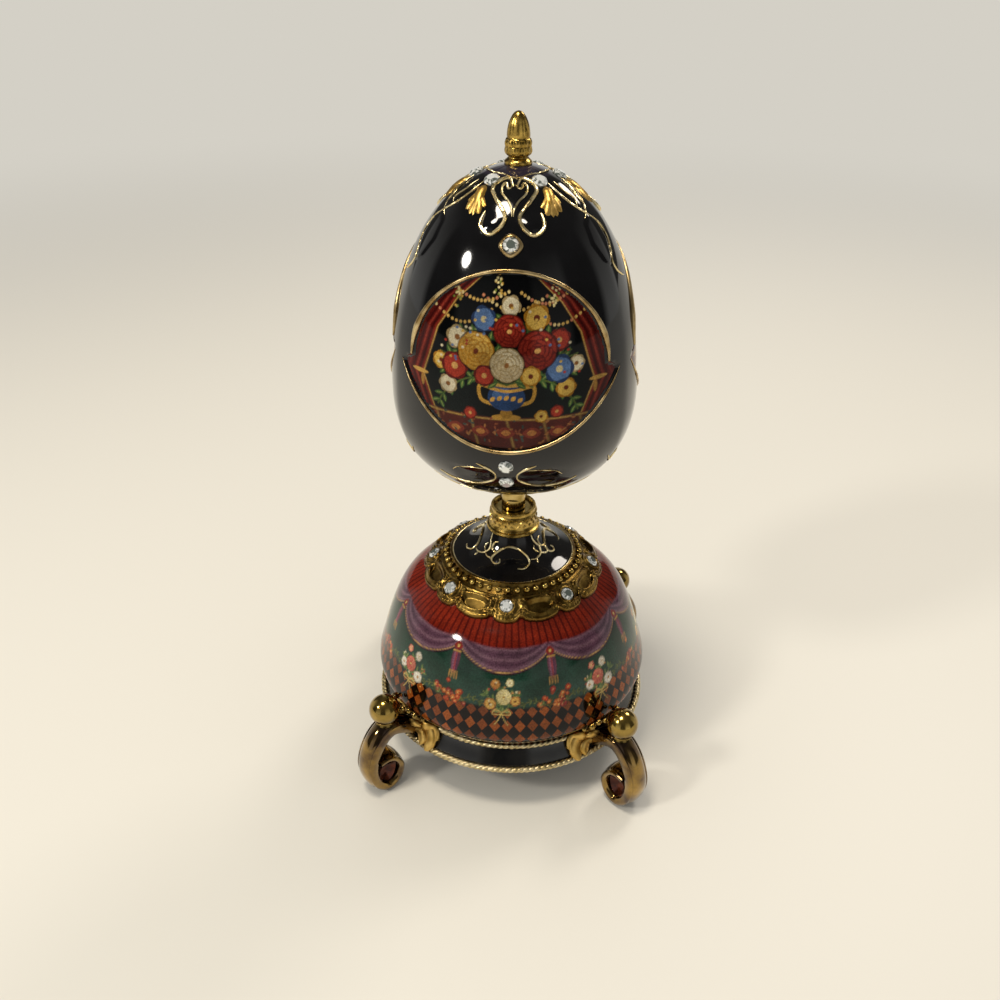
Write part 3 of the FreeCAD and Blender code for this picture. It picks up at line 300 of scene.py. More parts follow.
@dataclass(frozen=True)
class CheckPrint(Print):
    """The dome's transfer: a diamond check below, painted festoons and sprays above."""

    diamonds: int = 72
    diamond_h: float = 4.4
    height: float = 55.0
    orange: str = "#a4541f"
    russet: str = "#7e3f1c"
    dark: str = "#120806"
    line: float = 0.09

    def colours(self, tree: Tree) -> Socket:
        """Painted colours over the diamond check, by the paint's alpha.

        Args:
            tree: nodes of the material.

        Returns:
            The colour's socket.
        """
        paint = add(tree, "ShaderNodeAttribute", attribute_name="paint")
        flat = add(tree, "ShaderNodeUVMap", uv_map="UVMap").outputs["UV"]
        axes = add(tree, "ShaderNodeSeparateXYZ", {"Vector": flat})
        across = add(tree, "ShaderNodeMath", {0: axes.outputs["X"], 1: float(self.diamonds)},
                     operation="MULTIPLY")
        upward = add(tree, "ShaderNodeMath", {0: axes.outputs["Y"], 1: self.height / self.diamond_h},
                     operation="MULTIPLY")
        cells = []
        edges = []
        for way in ("ADD", "SUBTRACT"):
            slant = add(tree, "ShaderNodeMath", {0: across.outputs[0], 1: upward.outputs[0]}, operation=way)
            cells.append(add(tree, "ShaderNodeMath", {0: slant.outputs[0]}, operation="FLOOR").outputs[0])
            edges.append(add(tree, "ShaderNodeMath", {0: slant.outputs[0], 1: 0.5},
                             operation="PINGPONG").outputs[0])
        total = add(tree, "ShaderNodeMath", {0: cells[0], 1: cells[1]}, operation="ADD")
        odd = add(tree, "ShaderNodeMath", {0: total.outputs[0], 1: 2.0},
                  operation="FLOORED_MODULO").outputs[0]
        cell = add(tree, "ShaderNodeCombineXYZ", {"X": cells[0], "Y": cells[1]}).outputs[0]
        chance = add(tree, "ShaderNodeTexWhiteNoise", {"Vector": cell}).outputs["Value"]
        warm = self.blend(tree, chance, 0.2, 0.9, colour(self.orange), colour(self.russet))
        check = add(tree, "ShaderNodeMix", {"Factor": odd, 6: warm, 7: colour(self.dark)}, data_type="RGBA")
        nearest = add(tree, "ShaderNodeMath", {0: edges[0], 1: edges[1]}, operation="MINIMUM").outputs[0]
        lined = self.blend(tree, nearest, self.line * 0.3, self.line, colour(self.dark), check.outputs[2])
        merged = add(tree, "ShaderNodeMix", {"Factor": paint.outputs["Alpha"], 6: lined,
                                             7: paint.outputs["Color"]}, data_type="RGBA").outputs[2]
        return self.grained(tree, merged)


@dataclass(frozen=True)
class Gilt(Finish):
    """Fired or plated gold over relief: bright on the high parts, brown in the hollows, partly patina and
    partly painted shade.
    """

    light: str = "#d9a945"
    deep: str = "#8a6118"
    hollow: str = "#2e1806"
    roughness: float = 0.2
    patina_and_shade_mm: float = 1.6
    patina_and_shade: float = 0.9
    mottle_mm: float = 3.5
    dent_mm: float = 1.2
    dent: float = 0.12
    spread: float = 0.12
    lacquer: float = 0.0

    def shade(self, tree: Tree) -> Node:
        """Metal with clouded gold, darkened where faces crowd together: a patina, and with it painted shade
        in hollows, between parts and near the floor.

        Args:
            tree: nodes of the material.

        Returns:
            The shader node.
        """
        cloud = self.speckle(tree, self.mottle_mm, 4.0)
        gold = self.blend(tree, cloud, 0.35, 0.65, colour(self.deep), colour(self.light))
        # Ambient occlusion darkens the colour in hollows, between parts and where the floor is near: partly
        # patina, partly painted shade
        crowd = add(tree, "ShaderNodeAmbientOcclusion", {"Distance": self.patina_and_shade_mm * MM}, samples=6)
        open_share = add(tree, "ShaderNodeMapRange",
                         {"Value": crowd.outputs["AO"], "From Min": 0.25, "From Max": 0.95,
                          "To Min": self.patina_and_shade, "To Max": 0.0}).outputs["Result"]
        patina_and_shade_gold = add(tree, "ShaderNodeMix", {"Factor": open_share, 6: gold, 7: colour(self.hollow)},
                   data_type="RGBA").outputs[2]
        rough = add(tree, "ShaderNodeMapRange",
                    {"Value": cloud, "From Min": 0.3, "From Max": 0.7, "To Min": self.roughness,
                     "To Max": self.roughness + self.spread}).outputs["Result"]
        dents = self.relief(tree, self.speckle(tree, self.dent_mm, 3.0), 0.08, self.dent)
        return add(tree, "ShaderNodeBsdfPrincipled",
                   {"Base Color": patina_and_shade_gold, "Metallic": 1.0, "Roughness": rough, "Normal": dents,
                    "Coat Weight": self.lacquer, "Coat Roughness": 0.06})


@dataclass(frozen=True)
class Turned(Gilt):
    """Lathe-turned or rolled metal: fine rings along one axis over the metal's own colour."""

    ring_mm: float = 0.25
    axis: str = "Z"
    ring_depth: float = 0.05

    def shade(self, tree: Tree) -> Node:
        """The metal with tool rings in its normal.

        Args:
            tree: nodes of the material.

        Returns:
            The shader node.
        """
        shader = super().shade(tree)
        place = add(tree, "ShaderNodeTexCoord")
        rings = add(tree, "ShaderNodeTexWave",
                    {"Vector": place.outputs["Object"], "Scale": 1.0 / (self.ring_mm * MM * 20),
                     "Distortion": 1.5, "Detail": 1.0}, bands_direction=self.axis)
        normal = self.relief(tree, rings.outputs["Fac"], 0.02, self.ring_depth * 6)
        tree.links.new(normal, shader.inputs["Normal"])
        return shader


@dataclass(frozen=True)
class Coat(Finish):
    """Sprayed or moulded coat that is not metal: fine grain, soft gloss."""

    ground: str = "#101010"
    tint: str = "#1c1b1a"
    roughness: float = 0.45
    grain_mm: float = 0.5
    grain: float = 0.25

    def shade(self, tree: Tree) -> Node:
        """Grained coat.

        Args:
            tree: nodes of the material.

        Returns:
            The shader node.
        """
        cloud = self.speckle(tree, self.grain_mm * 8, 3.0)
        fine = self.speckle(tree, self.grain_mm, 3.0)
        return add(tree, "ShaderNodeBsdfPrincipled",
                   {"Base Color": self.blend(tree, cloud, 0.3, 0.7, colour(self.ground), colour(self.tint)),
                    "Roughness": self.roughness, "Normal": self.relief(tree, fine, 0.05, self.grain)})


@dataclass(frozen=True)
class Stone(Finish):
    """Foil-backed cut glass: each facet's colour is a painted reflection of a light or a dark part of the
    room.
    """

    def shade(self, tree: Tree) -> Node:
        """Mirror facets toned by painted reflections: most bright, a few dark.

        Args:
            tree: nodes of the material.

        Returns:
            The shader node.
        """
        painted_reflection = add(tree, "ShaderNodeAttribute", attribute_name="painted_reflection").outputs["Fac"]
        # Dark and bright painted reflections of the room, one per facet
        tone = self.blend(tree, painted_reflection, 0.2, 0.75, colour("#626a64"), colour("#f6f8f5"))
        return add(tree, "ShaderNodeBsdfPrincipled",
                   {"Base Color": tone, "Metallic": 0.4, "Roughness": 0.04, "Coat Weight": 1.0,
                    "Coat Roughness": 0.02, "Specular IOR Level": 0.8})


# Fired black glaze over porcelain: deep black, mirror-like, with a slow ripple
BLACK_PORCELAIN = Glaze("black_glazed_porcelain")
# The egg's glaze takes its tone from the brush: black body, violet cap
EGG_GLAZE = CapGlaze("egg_black_glaze")
# Enamelled cast ring: black with a grey bloom, softer gloss
BLACK_ENAMEL = Glaze("black_enamelled_casting", ground="#0d0d0e", tint="#1b1a19", roughness=0.14,
                     ripple_mm=3.0, ripple_strength=0.2, specular=0.4)
# Transfer print of the picture fields under a thin clear glaze
PICTURE_PRINT = Print("printed_picture_glaze", roughness=0.07, specular=0.12, coat=0.05, grain_mm=0.3)
# Gilding lacquered brown: dark honey gold with bright worn edges
ANTIQUE_GILT = Gilt("antique_gilding", light="#94783c", deep="#5c431a", hollow="#160b03", roughness=0.2,
                    dent=0.04, patina_and_shade_mm=2.2, patina_and_shade=0.95)
# Cast feet, gilded and lacquered honey brown
FOOT_GILT = Gilt("lacquered_foot_gilding", light="#a8863a", deep="#4a3010", hollow="#1c0903",
                 roughness=0.07, patina_and_shade_mm=5.0, patina_and_shade=0.9, mottle_mm=6.0, dent_mm=4.0, dent=0.14,
                 lacquer=0.9)
# Inside of the foot's curl: gilding under a lacquer coat, coloured dark red-brown as painted shade of the
# hollow
CURL_SHADE_LACQUER = Gilt("red_brown_curl_shade_lacquer", light="#6a3018", deep="#35110a", hollow="#120403",
                      roughness=0.18, patina_and_shade_mm=3.0, patina_and_shade=0.9, mottle_mm=2.5, dent_mm=1.0, dent=0.2,
                      lacquer=0.5)
# Leaves gilded without lacquer: paler and softer
LEAF_GILT = Gilt("matt_leaf_gilding", light="#e2be70", deep="#c0984a", hollow="#5e3f18", roughness=0.34,
                 patina_and_shade_mm=1.0, patina_and_shade=0.6, mottle_mm=2.0, dent_mm=0.6, dent=0.3)
# Turned balls, gilded and polished under thin lacquer
BALL_GILT = Gilt("polished_ball_gilding", light="#bb9c4c", deep="#75602a", hollow="#3a1e08", roughness=0.08,
                 patina_and_shade_mm=1.5, patina_and_shade=0.7, mottle_mm=7.0, dent_mm=3.0, dent=0.04, lacquer=0.4)
# Beads rubbed bright by hand on the darker collar
BEAD_GILT = Gilt("rubbed_bead_gilding", light="#d4b668", deep="#9e813c", hollow="#33200a", roughness=0.18,
                 patina_and_shade_mm=0.5, patina_and_shade=0.7, mottle_mm=3.0, dent_mm=0.6, dent=0.1)
# Cast rope in pale gold with dark lay lines
ROPE_GILT = Gilt("pale_rope_gilding", light="#ecdcb2", deep="#c4b07c", hollow="#3c260c", roughness=0.3,
                 patina_and_shade_mm=0.7, patina_and_shade=0.95, mottle_mm=1.8, dent_mm=0.5, dent=0.25)
# Burnished fired gold lines on the glaze
LINE_GILT = Gilt("burnished_gold_lines", light="#f6e8bc", deep="#e4cc90", hollow="#7f5d2c", roughness=0.22,
                 patina_and_shade_mm=0.4, patina_and_shade=0.5, mottle_mm=2.5, dent_mm=0.8, dent=0.1)
# Modelled rolls in burnished gold, browner at the glaze
RIM_GILT = Gilt("burnished_rim_gold", light="#d6c090", deep="#94784a", hollow="#2a1a0a", roughness=0.24,
                patina_and_shade_mm=0.8, patina_and_shade=0.7, mottle_mm=4.0, dent_mm=1.0, dent=0.1)
# Cast and gilded finial with dark hollows in its relief
FINIAL_GILT = Gilt("cast_finial_gilding", light="#ccaa58", deep="#7c6228", hollow="#281806", roughness=0.18,
                   patina_and_shade_mm=0.9, patina_and_shade=0.95, mottle_mm=1.5, dent_mm=0.6, dent=0.55)
# Lathe-turned brass with a stamped band
FERRULE_BRASS = Turned("turned_ferrule_brass", light="#d0b064", deep="#967a38", hollow="#33240c",
                       roughness=0.2, patina_and_shade_mm=1.0, patina_and_shade=0.8, mottle_mm=1.4, dent_mm=0.7, dent=0.2)
# Drawn brass rod, polished
SPINDLE_BRASS = Turned("polished_spindle_brass", light="#cfb678", deep="#9c8446", hollow="#2a2008",
                       roughness=0.14, patina_and_shade_mm=1.0, patina_and_shade=0.7)
# Rolled clock brass of plates and wheels
MOVEMENT_BRASS = Turned("rolled_movement_brass", light="#dcbf74", deep="#b8964a", hollow="#4a3a18",
                        roughness=0.25, patina_and_shade_mm=1.2, patina_and_shade=0.6, ring_mm=0.4, axis="Y")
# Hardened steel of comb and springs, ground and blued
COMB_STEEL = Turned("blued_comb_steel", light="#8f99a4", deep="#66707c", hollow="#20242a", roughness=0.24,
                    patina_and_shade_mm=0.8, patina_and_shade=0.7, ring_mm=0.3, axis="X")
# Turned screw steel under bright nickel
SCREW_STEEL = Turned("nickel_plated_screw_steel", light="#d4d3cf", deep="#a9a8a4", hollow="#3a3936",
                     roughness=0.22, patina_and_shade_mm=0.8, patina_and_shade=0.7)
# Die-cast zinc, tumbled and left bare
ZINC_CASTING = Gilt("tumbled_zinc_casting", light="#aeb0ae", deep="#8c8e8d", hollow="#3c3d3c",
                    roughness=0.42, patina_and_shade_mm=1.5, patina_and_shade=0.6, mottle_mm=3.0, dent_mm=0.8, dent=0.35)
# Pressed cover, sprayed matt black
COVER_COAT = Coat("black_sprayed_cover")
# Cut lead crystal with a foil back; its facets carry painted reflections
CRYSTAL = Stone("foil_backed_lead_crystal")


# Mesh helpers


def smooth_line(points: Sequence[Row], steps: int = 8) -> Values:
    """Points of a smooth line through given ones, of any dimension.

    Args:
        points: places that the line goes through.
        steps: points per span.

    Returns:
        One row per point.
    """
    line = np.array(points, float)
    padded = np.vstack([2 * line[0] - line[1], line, 2 * line[-1] - line[-2]])
    rows = []
    for i in range(len(line) - 1):
        before, start, end, after = padded[i:i + 4]
        for step in range(steps):
            t = step / steps
            bend = 2 * before - 5 * start + 4 * end - after
            twist = 3 * start - before - 3 * end + after
            rows.append(0.5 * (2 * start + (end - before) * t + bend * t ** 2 + twist * t ** 3))
    rows.append(line[-1])
    return np.array(rows)


def soft_step(low: float, high: float, value: Values) -> Values:
    """Smooth rise from 0 at low to 1 at high."""
    t = np.clip((value - low) / (high - low), 0.0, 1.0)
    return t * t * (3 - 2 * t)


def hump(value: Values, width: float) -> Values:
    """Bell curve of height one about zero."""
    return np.exp(-(value / width) ** 2)


def azimuth_point(radius: float, turn: float, z: float) -> Vector:
    """Point at an angle in degrees from the front, towards +X."""
    angle = math.radians(turn)
    return Vector((radius * math.sin(angle), -radius * math.cos(angle), z))


def turned_points(radius: Values, angle: Values, height: Values) -> Values:
    """Points at angles in radians from the front, towards +X."""
    return np.stack([radius * np.sin(angle), -radius * np.cos(angle), height], axis=1)


def grid_sheet(columns: int, rows: int, place: Callable[[Values, Values], Values],
               paint: Callable[[Values, Values], Values] | None = None,
               merge: float = 0.004) -> Mesh:
    """Grid whose corners a function places, with a UV map of its own directions.

    Args:
        columns: cells across.
        rows: cells up.
        place: turns shares across and up into points in millimetres.
        paint: turns the same shares into colours with alpha.
        merge: points nearer than this become one, which closes seams and poles.

    Returns:
        The mesh.
    """
    bm = bmesh.new()
    uv_layer = bm.loops.layers.uv.new("UVMap")
    bmesh.ops.create_grid(bm, x_segments=columns, y_segments=rows, size=1.0)
    shares = np.array([vert.co[:2] for vert in bm.verts]) * 0.5 + 0.5
    spots = place(shares[:, 0], shares[:, 1])
    for face in bm.faces:
        for loop in face.loops:
            loop[uv_layer].uv = shares[loop.vert.index]
    if paint:
        layer = bm.verts.layers.float_color.new("paint")
        for vert, shade in zip(bm.verts, paint(shares[:, 0], shares[:, 1])):
            vert[layer] = shade
    for vert, spot in zip(bm.verts, spots):
        vert.co = spot
    bmesh.ops.remove_doubles(bm, verts=bm.verts, dist=merge)
    return bm


def loft(rings: Sequence[Sequence[Row]], round_trip: bool = False) -> Mesh:
    """Skin through rings of equal counts.

    Args:
        rings: closed rings of points, in order.
        round_trip: join the last ring to the first instead of closing both ends.

    Returns:
        The mesh.
    """
    bm = bmesh.new()
    count = len(rings[0])
    loop = bmesh.ops.create_circle(bm, segments=count, radius=1.0)["verts"]
    loop = sorted(loop, key=lambda vert: math.atan2(vert.co.y, vert.co.x))
    first = [bm.edges.get((loop[i], loop[(i + 1) % count])) for i in range(count)]
    for vert, spot in zip(loop, rings[0]):
        vert.co = spot
    edges = first
    for ring in rings[1:]:
        made = bmesh.ops.extrude_edge_only(bm, edges=edges)["geom"]
        fresh = {item for item in made if isinstance(item, bmesh.types.BMVert)}
        loop = [next(edge.other_vert(vert) for edge in vert.link_edges if edge.other_vert(vert) in fresh)
                for vert in loop]
        for vert, spot in zip(loop, ring):
            vert.co = spot
        edges = [bm.edges.get((loop[i], loop[(i + 1) % count])) for i in range(count)]
    if round_trip:
        bmesh.ops.bridge_loops(bm, edges=first + edges)
    else:
        for rim in (first, edges):
            bmesh.ops.holes_fill(bm, edges=rim, sides=0)
    return bm


def turned(profile: Sequence[Row], steps: int = 192) -> Mesh:
    """Surface of a (radius, height) profile turned about Z.

    Args:
        profile: rows of radius and height.
        steps: faces round the turn.

    Returns:
        The mesh.
    """
    bm = bmesh.new()
    verts = [bm.verts.new((row[0], 0.0, row[1])) for row in profile]
    edges = [bm.edges.new(pair) for pair in zip(verts, verts[1:])]
    bmesh.ops.spin(bm, geom=verts + edges, cent=(0, 0, 0), axis=UP, dvec=(0, 0, 0), angle=FULL_TURN,
                   steps=steps, use_merge=True)
    bmesh.ops.remove_doubles(bm, verts=bm.verts, dist=0.002)
    return bm


def joined(parts: Iterable[Mesh]) -> Mesh:
    """One mesh of several, which are freed.

    Args:
        parts: the meshes.

    Returns:
        The mesh.
    """
    whole = bmesh.new()
    for part in parts:
        scrap = bpy.data.meshes.new("scrap")
        part.to_mesh(scrap)
        part.free()
        whole.from_mesh(scrap)
        bpy.data.meshes.remove(scrap)
    return whole


def spun(bm: Mesh, turn: float) -> Mesh:
    """Copy of a mesh turned about Z by an angle in degrees.

    Args:
        bm: mesh, which stays.
        turn: angle.

    Returns:
        The copy.
    """
    copy = bm.copy()
    bmesh.ops.transform(copy, matrix=Matrix.Rotation(math.radians(turn), 4, "Z"), verts=copy.verts)
    return copy


def ring_of(bm: Mesh, count: int, first: float = 0.0) -> Mesh:
    """Copies of a mesh evenly about Z, joined.

    Args:
        bm: mesh, which is freed.
        count: how many.
        first: angle of the first in degrees.

    Returns:
        The mesh.
    """
    whole = joined(spun(bm, first + 360.0 * i / count) for i in range(count))
    bm.free()
    return whole


@dataclass
class Stroke:
    """A raised line: its points, and the half width at each of them."""

    points: Values
    radii: Values


def tapered(points: Sequence[Row], radius: float, steps: int = 6, tips: float = 0.25,
            swell: Sequence[float] | None = None) -> Stroke:
    """Stroke through points that thins towards its ends.

    Args:
        points: places that the stroke goes through.
        radius: full half width.
        steps: points per span.
        tips: half width share at the ends.
        swell: width shares at the given points, in place of the plain taper.

    Returns:
        The stroke.
    """
    line = smooth_line(points, steps)
    share = np.linspace(0.0, 1.0, len(line))
    if swell is None:
        widths = tips + (1 - tips) * np.minimum(1.0, np.sin(share * math.pi) * 2.2)
    else:
        widths = np.interp(share, np.linspace(0.0, 1.0, len(swell)), swell)
    return Stroke(line, radius * widths)


def wires(strokes: Iterable[Stroke], sides: int = 2) -> Mesh:
    """Round wires along strokes, with closed ends.

    Args:
        strokes: lines with their half widths.
        sides: roundness; the wire has four times this and four more sides.

    Returns:
        The mesh, in millimetres.
    """
    curve = bpy.data.curves.new("wires", "CURVE")
    curve.dimensions = "3D"
    curve.bevel_depth = 1.0
    curve.bevel_resolution = sides
    curve.use_fill_caps = True
    for stroke in strokes:
        line = curve.splines.new("POLY")
        line.points.add(len(stroke.points) - 1)
        for point, spot, radius in zip(line.points, stroke.points, stroke.radii):
            point.co = (*spot, 1.0)
            point.radius = radius
    holder = bpy.data.objects.new("wires", curve)
    mesh = bpy.data.meshes.new_from_object(holder)
    bm = bmesh.new()
    bm.from_mesh(mesh)
    bpy.data.objects.remove(holder)
    bpy.data.curves.remove(curve)
    bpy.data.meshes.remove(mesh)
    bmesh.ops.remove_doubles(bm, verts=bm.verts, dist=0.003)
    return bm


def publish(name: str, bm: Mesh, finish: Finish, body: Body, slot: Slot, *stands_for: str,
            crease: float = 40.0, outward: bool = True) -> bpy.types.Object:
    """Write a mesh as a finished piece of the object.

    Args:
        name: piece name.
        bm: mesh in millimetres, which is freed.
        finish: its surface.
        body: body that it rides on.
        slot: record slot of its finish; not used.
        stands_for: CAD nodes that it replaces.
        crease: angle in degrees above which an edge stays sharp.
        outward: work the way of the faces out again.

    Returns:
        The piece.
    """
    bmesh.ops.scale(bm, vec=(MM, MM, MM), verts=bm.verts)
    if outward:
        bmesh.ops.recalc_face_normals(bm, faces=bm.faces)
    for face in bm.faces:
        face.smooth = crease > 0
    mesh = bpy.data.meshes.new(name)
    bm.to_mesh(mesh)
    bm.free()
    if crease > 0:
        mesh.set_sharp_from_angle(angle=math.radians(crease))
    piece = bpy.data.objects.new(name, mesh)
    bpy.context.scene.collection.objects.link(piece)
    mesh.materials.append(finish.material())
    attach(piece, body.value)
    if stands_for:
        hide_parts(*stands_for)
    log.info("%s: %d faces", name, len(mesh.polygons))
    return piece


# Painting


class Canvas:
    """Flat picture at given places: stamps of colour are laid over a ground, all in millimetres."""

    def __init__(self, x: Values, y: Values, ground: str, soft: float = 0.25,
                 around: float = 0.0) -> None:
        """Start a canvas of one colour.

        Args:
            x: places across.
            y: places up.
            ground: hex colour.
            soft: width of every edge.
            around: length after which x repeats, or zero.
        """
        self.x = x
        self.y = y
        self.soft = soft
        self.around = around
        self.paint = np.tile(np.array(colour(ground)), (len(x), 1))

    def near(self, cx: float, cy: float, reach: float) -> tuple[Values, Values, Values]:
        """Places within reach of a point: their numbers and their offsets.

        Args:
            cx: point across.
            cy: point up.
            reach: half side of the square searched.

        Returns:
            Numbers of the places, and their offsets across and up.
        """
        dx = self.x - cx
        if self.around:
            dx = (dx + self.around / 2) % self.around - self.around / 2
        dy = self.y - cy
        found = np.nonzero((np.abs(dx) < reach) & (np.abs(dy) < reach))[0]
        return found, dx[found], dy[found]

    def lay(self, found: Values, mask: Values, code: str) -> None:
        """Lay a colour over some places by a mask from 0 to 1."""
        mask = np.clip(mask, 0.0, 1.0)[:, None]
        self.paint[found] = self.paint[found] * (1 - mask) + np.array(colour(code)) * mask

    def wash(self, mask: Values, code: str) -> None:
        """Lay a colour over the whole canvas by a mask."""
        self.lay(np.arange(len(self.x)), mask, code)

    def blot(self, cx: float, cy: float, long: float, wide: float, turn: float, code: str,
             share: float = 1.0, pointed: float = 0.0) -> None:
        """Lay an ellipse, or a pointed leaf of the same size.

        Args:
            cx: centre across.
            cy: centre up.
            long: half length.
            wide: half width.
            turn: direction of the length, in degrees.
            code: hex colour.
            share: opacity.
            pointed: 0 for an ellipse, 1 for a leaf with two points.
        """
        found, dx, dy = self.near(cx, cy, long + self.soft * 2)
        c, s = math.cos(math.radians(turn)), math.sin(math.radians(turn))
        along = dx * c + dy * s
        across = dy * c - dx * s
        t = np.clip(np.abs(along) / long, 0, 1)
        half = wide * ((1 - pointed) * np.sqrt(1 - t ** 2) + pointed * (1 - t ** 2))
        inside = np.minimum(half - np.abs(across), long - np.abs(along))
        self.lay(found, share * np.clip(inside / self.soft + 0.5, 0, 1), code)

    def line(self, points: Sequence[Row], wide: float, code: str, steps: int = 6,
             share: float = 1.0) -> None:
        """Lay a smooth line of a half width.

        Args:
            points: places that it goes through.
            wide: half width.
            code: hex colour.
            steps: points per span.
            share: opacity.
        """
        path = smooth_line(points, steps) if len(points) > 2 else np.array(points, float)
        for start, end in zip(path, path[1:]):
            middle = (start + end) / 2
            run = end - start
            length = max(float(np.hypot(*run)), 1e-6)
            found, dx, dy = self.near(middle[0], middle[1], length / 2 + wide + self.soft)
            t = np.clip((dx * run[0] + dy * run[1]) / length ** 2, -0.5, 0.5)
            gap = np.hypot(dx - t * run[0], dy - t * run[1])
            self.lay(found, share * np.clip((wide - gap) / self.soft + 0.5, 0, 1), code)

    def flower(self, cx: float, cy: float, size: float, petals: int, codes: tuple[str, str, str],
               turn: float = 0.0) -> None:
        """Lay an open flower: dark outer petals, lighter inner ones and a heart.

        Args:
            cx: centre across.
            cy: centre up.
            size: radius.
            petals: how many.
            codes: outer, inner and heart colours.
            turn: angle of the first petal.
        """
        self.blot(cx, cy, size * 0.98, size * 0.98, 0, "#0e0907", share=0.75)
        for ring, (reach, code) in enumerate(((0.58, codes[0]), (0.38, codes[1]))):
            for i in range(petals):
                angle = turn + 360.0 * (i + 0.5 * ring) / petals
                a = math.radians(angle)
                self.blot(cx + size * reach * math.cos(a), cy + size * reach * math.sin(a), size * 0.45,
                          size * (0.62 - 0.02 * petals), angle, code, pointed=0.25)
        self.blot(cx, cy, size * 0.24, size * 0.24, 0, codes[2])

    def rose(self, cx: float, cy: float, size: float, codes: tuple[str, str, str],
             turn: float = 0.0) -> None:
        """Lay a full rose of curled petals, light at its upper side.

        Args:
            cx: centre across.
            cy: centre up.
            size: radius.
            codes: dark, light and heart colours.
            turn: angle of the first petal.
        """
        self.blot(cx, cy, size * 1.04, size, turn, "#0e0907", share=0.75)
        for ring in range(4):
            reach = size * (0.70 - 0.19 * ring)
            count = 7 - ring
            for i in range(count):
                a = math.radians(turn + 360.0 * i / count + 25.0 * ring)
                along = math.degrees(a) + 90
                self.blot(cx + reach * math.cos(a), cy + reach * math.sin(a), size * (0.44 - 0.06 * ring),
                          size * 0.27, along, codes[0])
                far = reach + size * 0.08
                light = 0.35 + 0.45 * max(0.0, math.sin(a + 0.6))
                self.blot(cx + far * math.cos(a), cy + far * math.sin(a), size * (0.36 - 0.05 * ring),
                          size * 0.11, along, codes[1], share=light)
        self.blot(cx, cy, size * 0.16, size * 0.12, turn, codes[2])

    def leafy(self, points: Sequence[Row], wide: float, stem: str, leaves: tuple[str, str], size: float,
              count: int) -> None:
        """Lay a stem with pairs of leaves along it.

        Args:
            points: places that the stem goes through.
            wide: half width of the stem.
            stem: its colour.
            leaves: dark and light leaf colours.
            size: half length of a leaf.
            count: pairs of leaves.
        """
        self.line(points, wide, stem)
        path = smooth_line(points, 8)
        for i in range(count):
            k = int((len(path) - 2) * (i + 0.6) / count)
            run = path[k + 1] - path[k]
            heading = math.degrees(math.atan2(run[1], run[0]))
            for hand in (-1, 1):
                angle = heading + hand * 48
                a = math.radians(angle)
                reach = size * 0.95
                x, y = path[k] + reach * np.array((math.cos(a), math.sin(a)))
                self.blot(x, y, size, size * 0.42, angle, leaves[0], pointed=1.0)
                self.blot(x, y, size * 0.7, size * 0.12, angle, leaves[1], pointed=1.0)


# Base


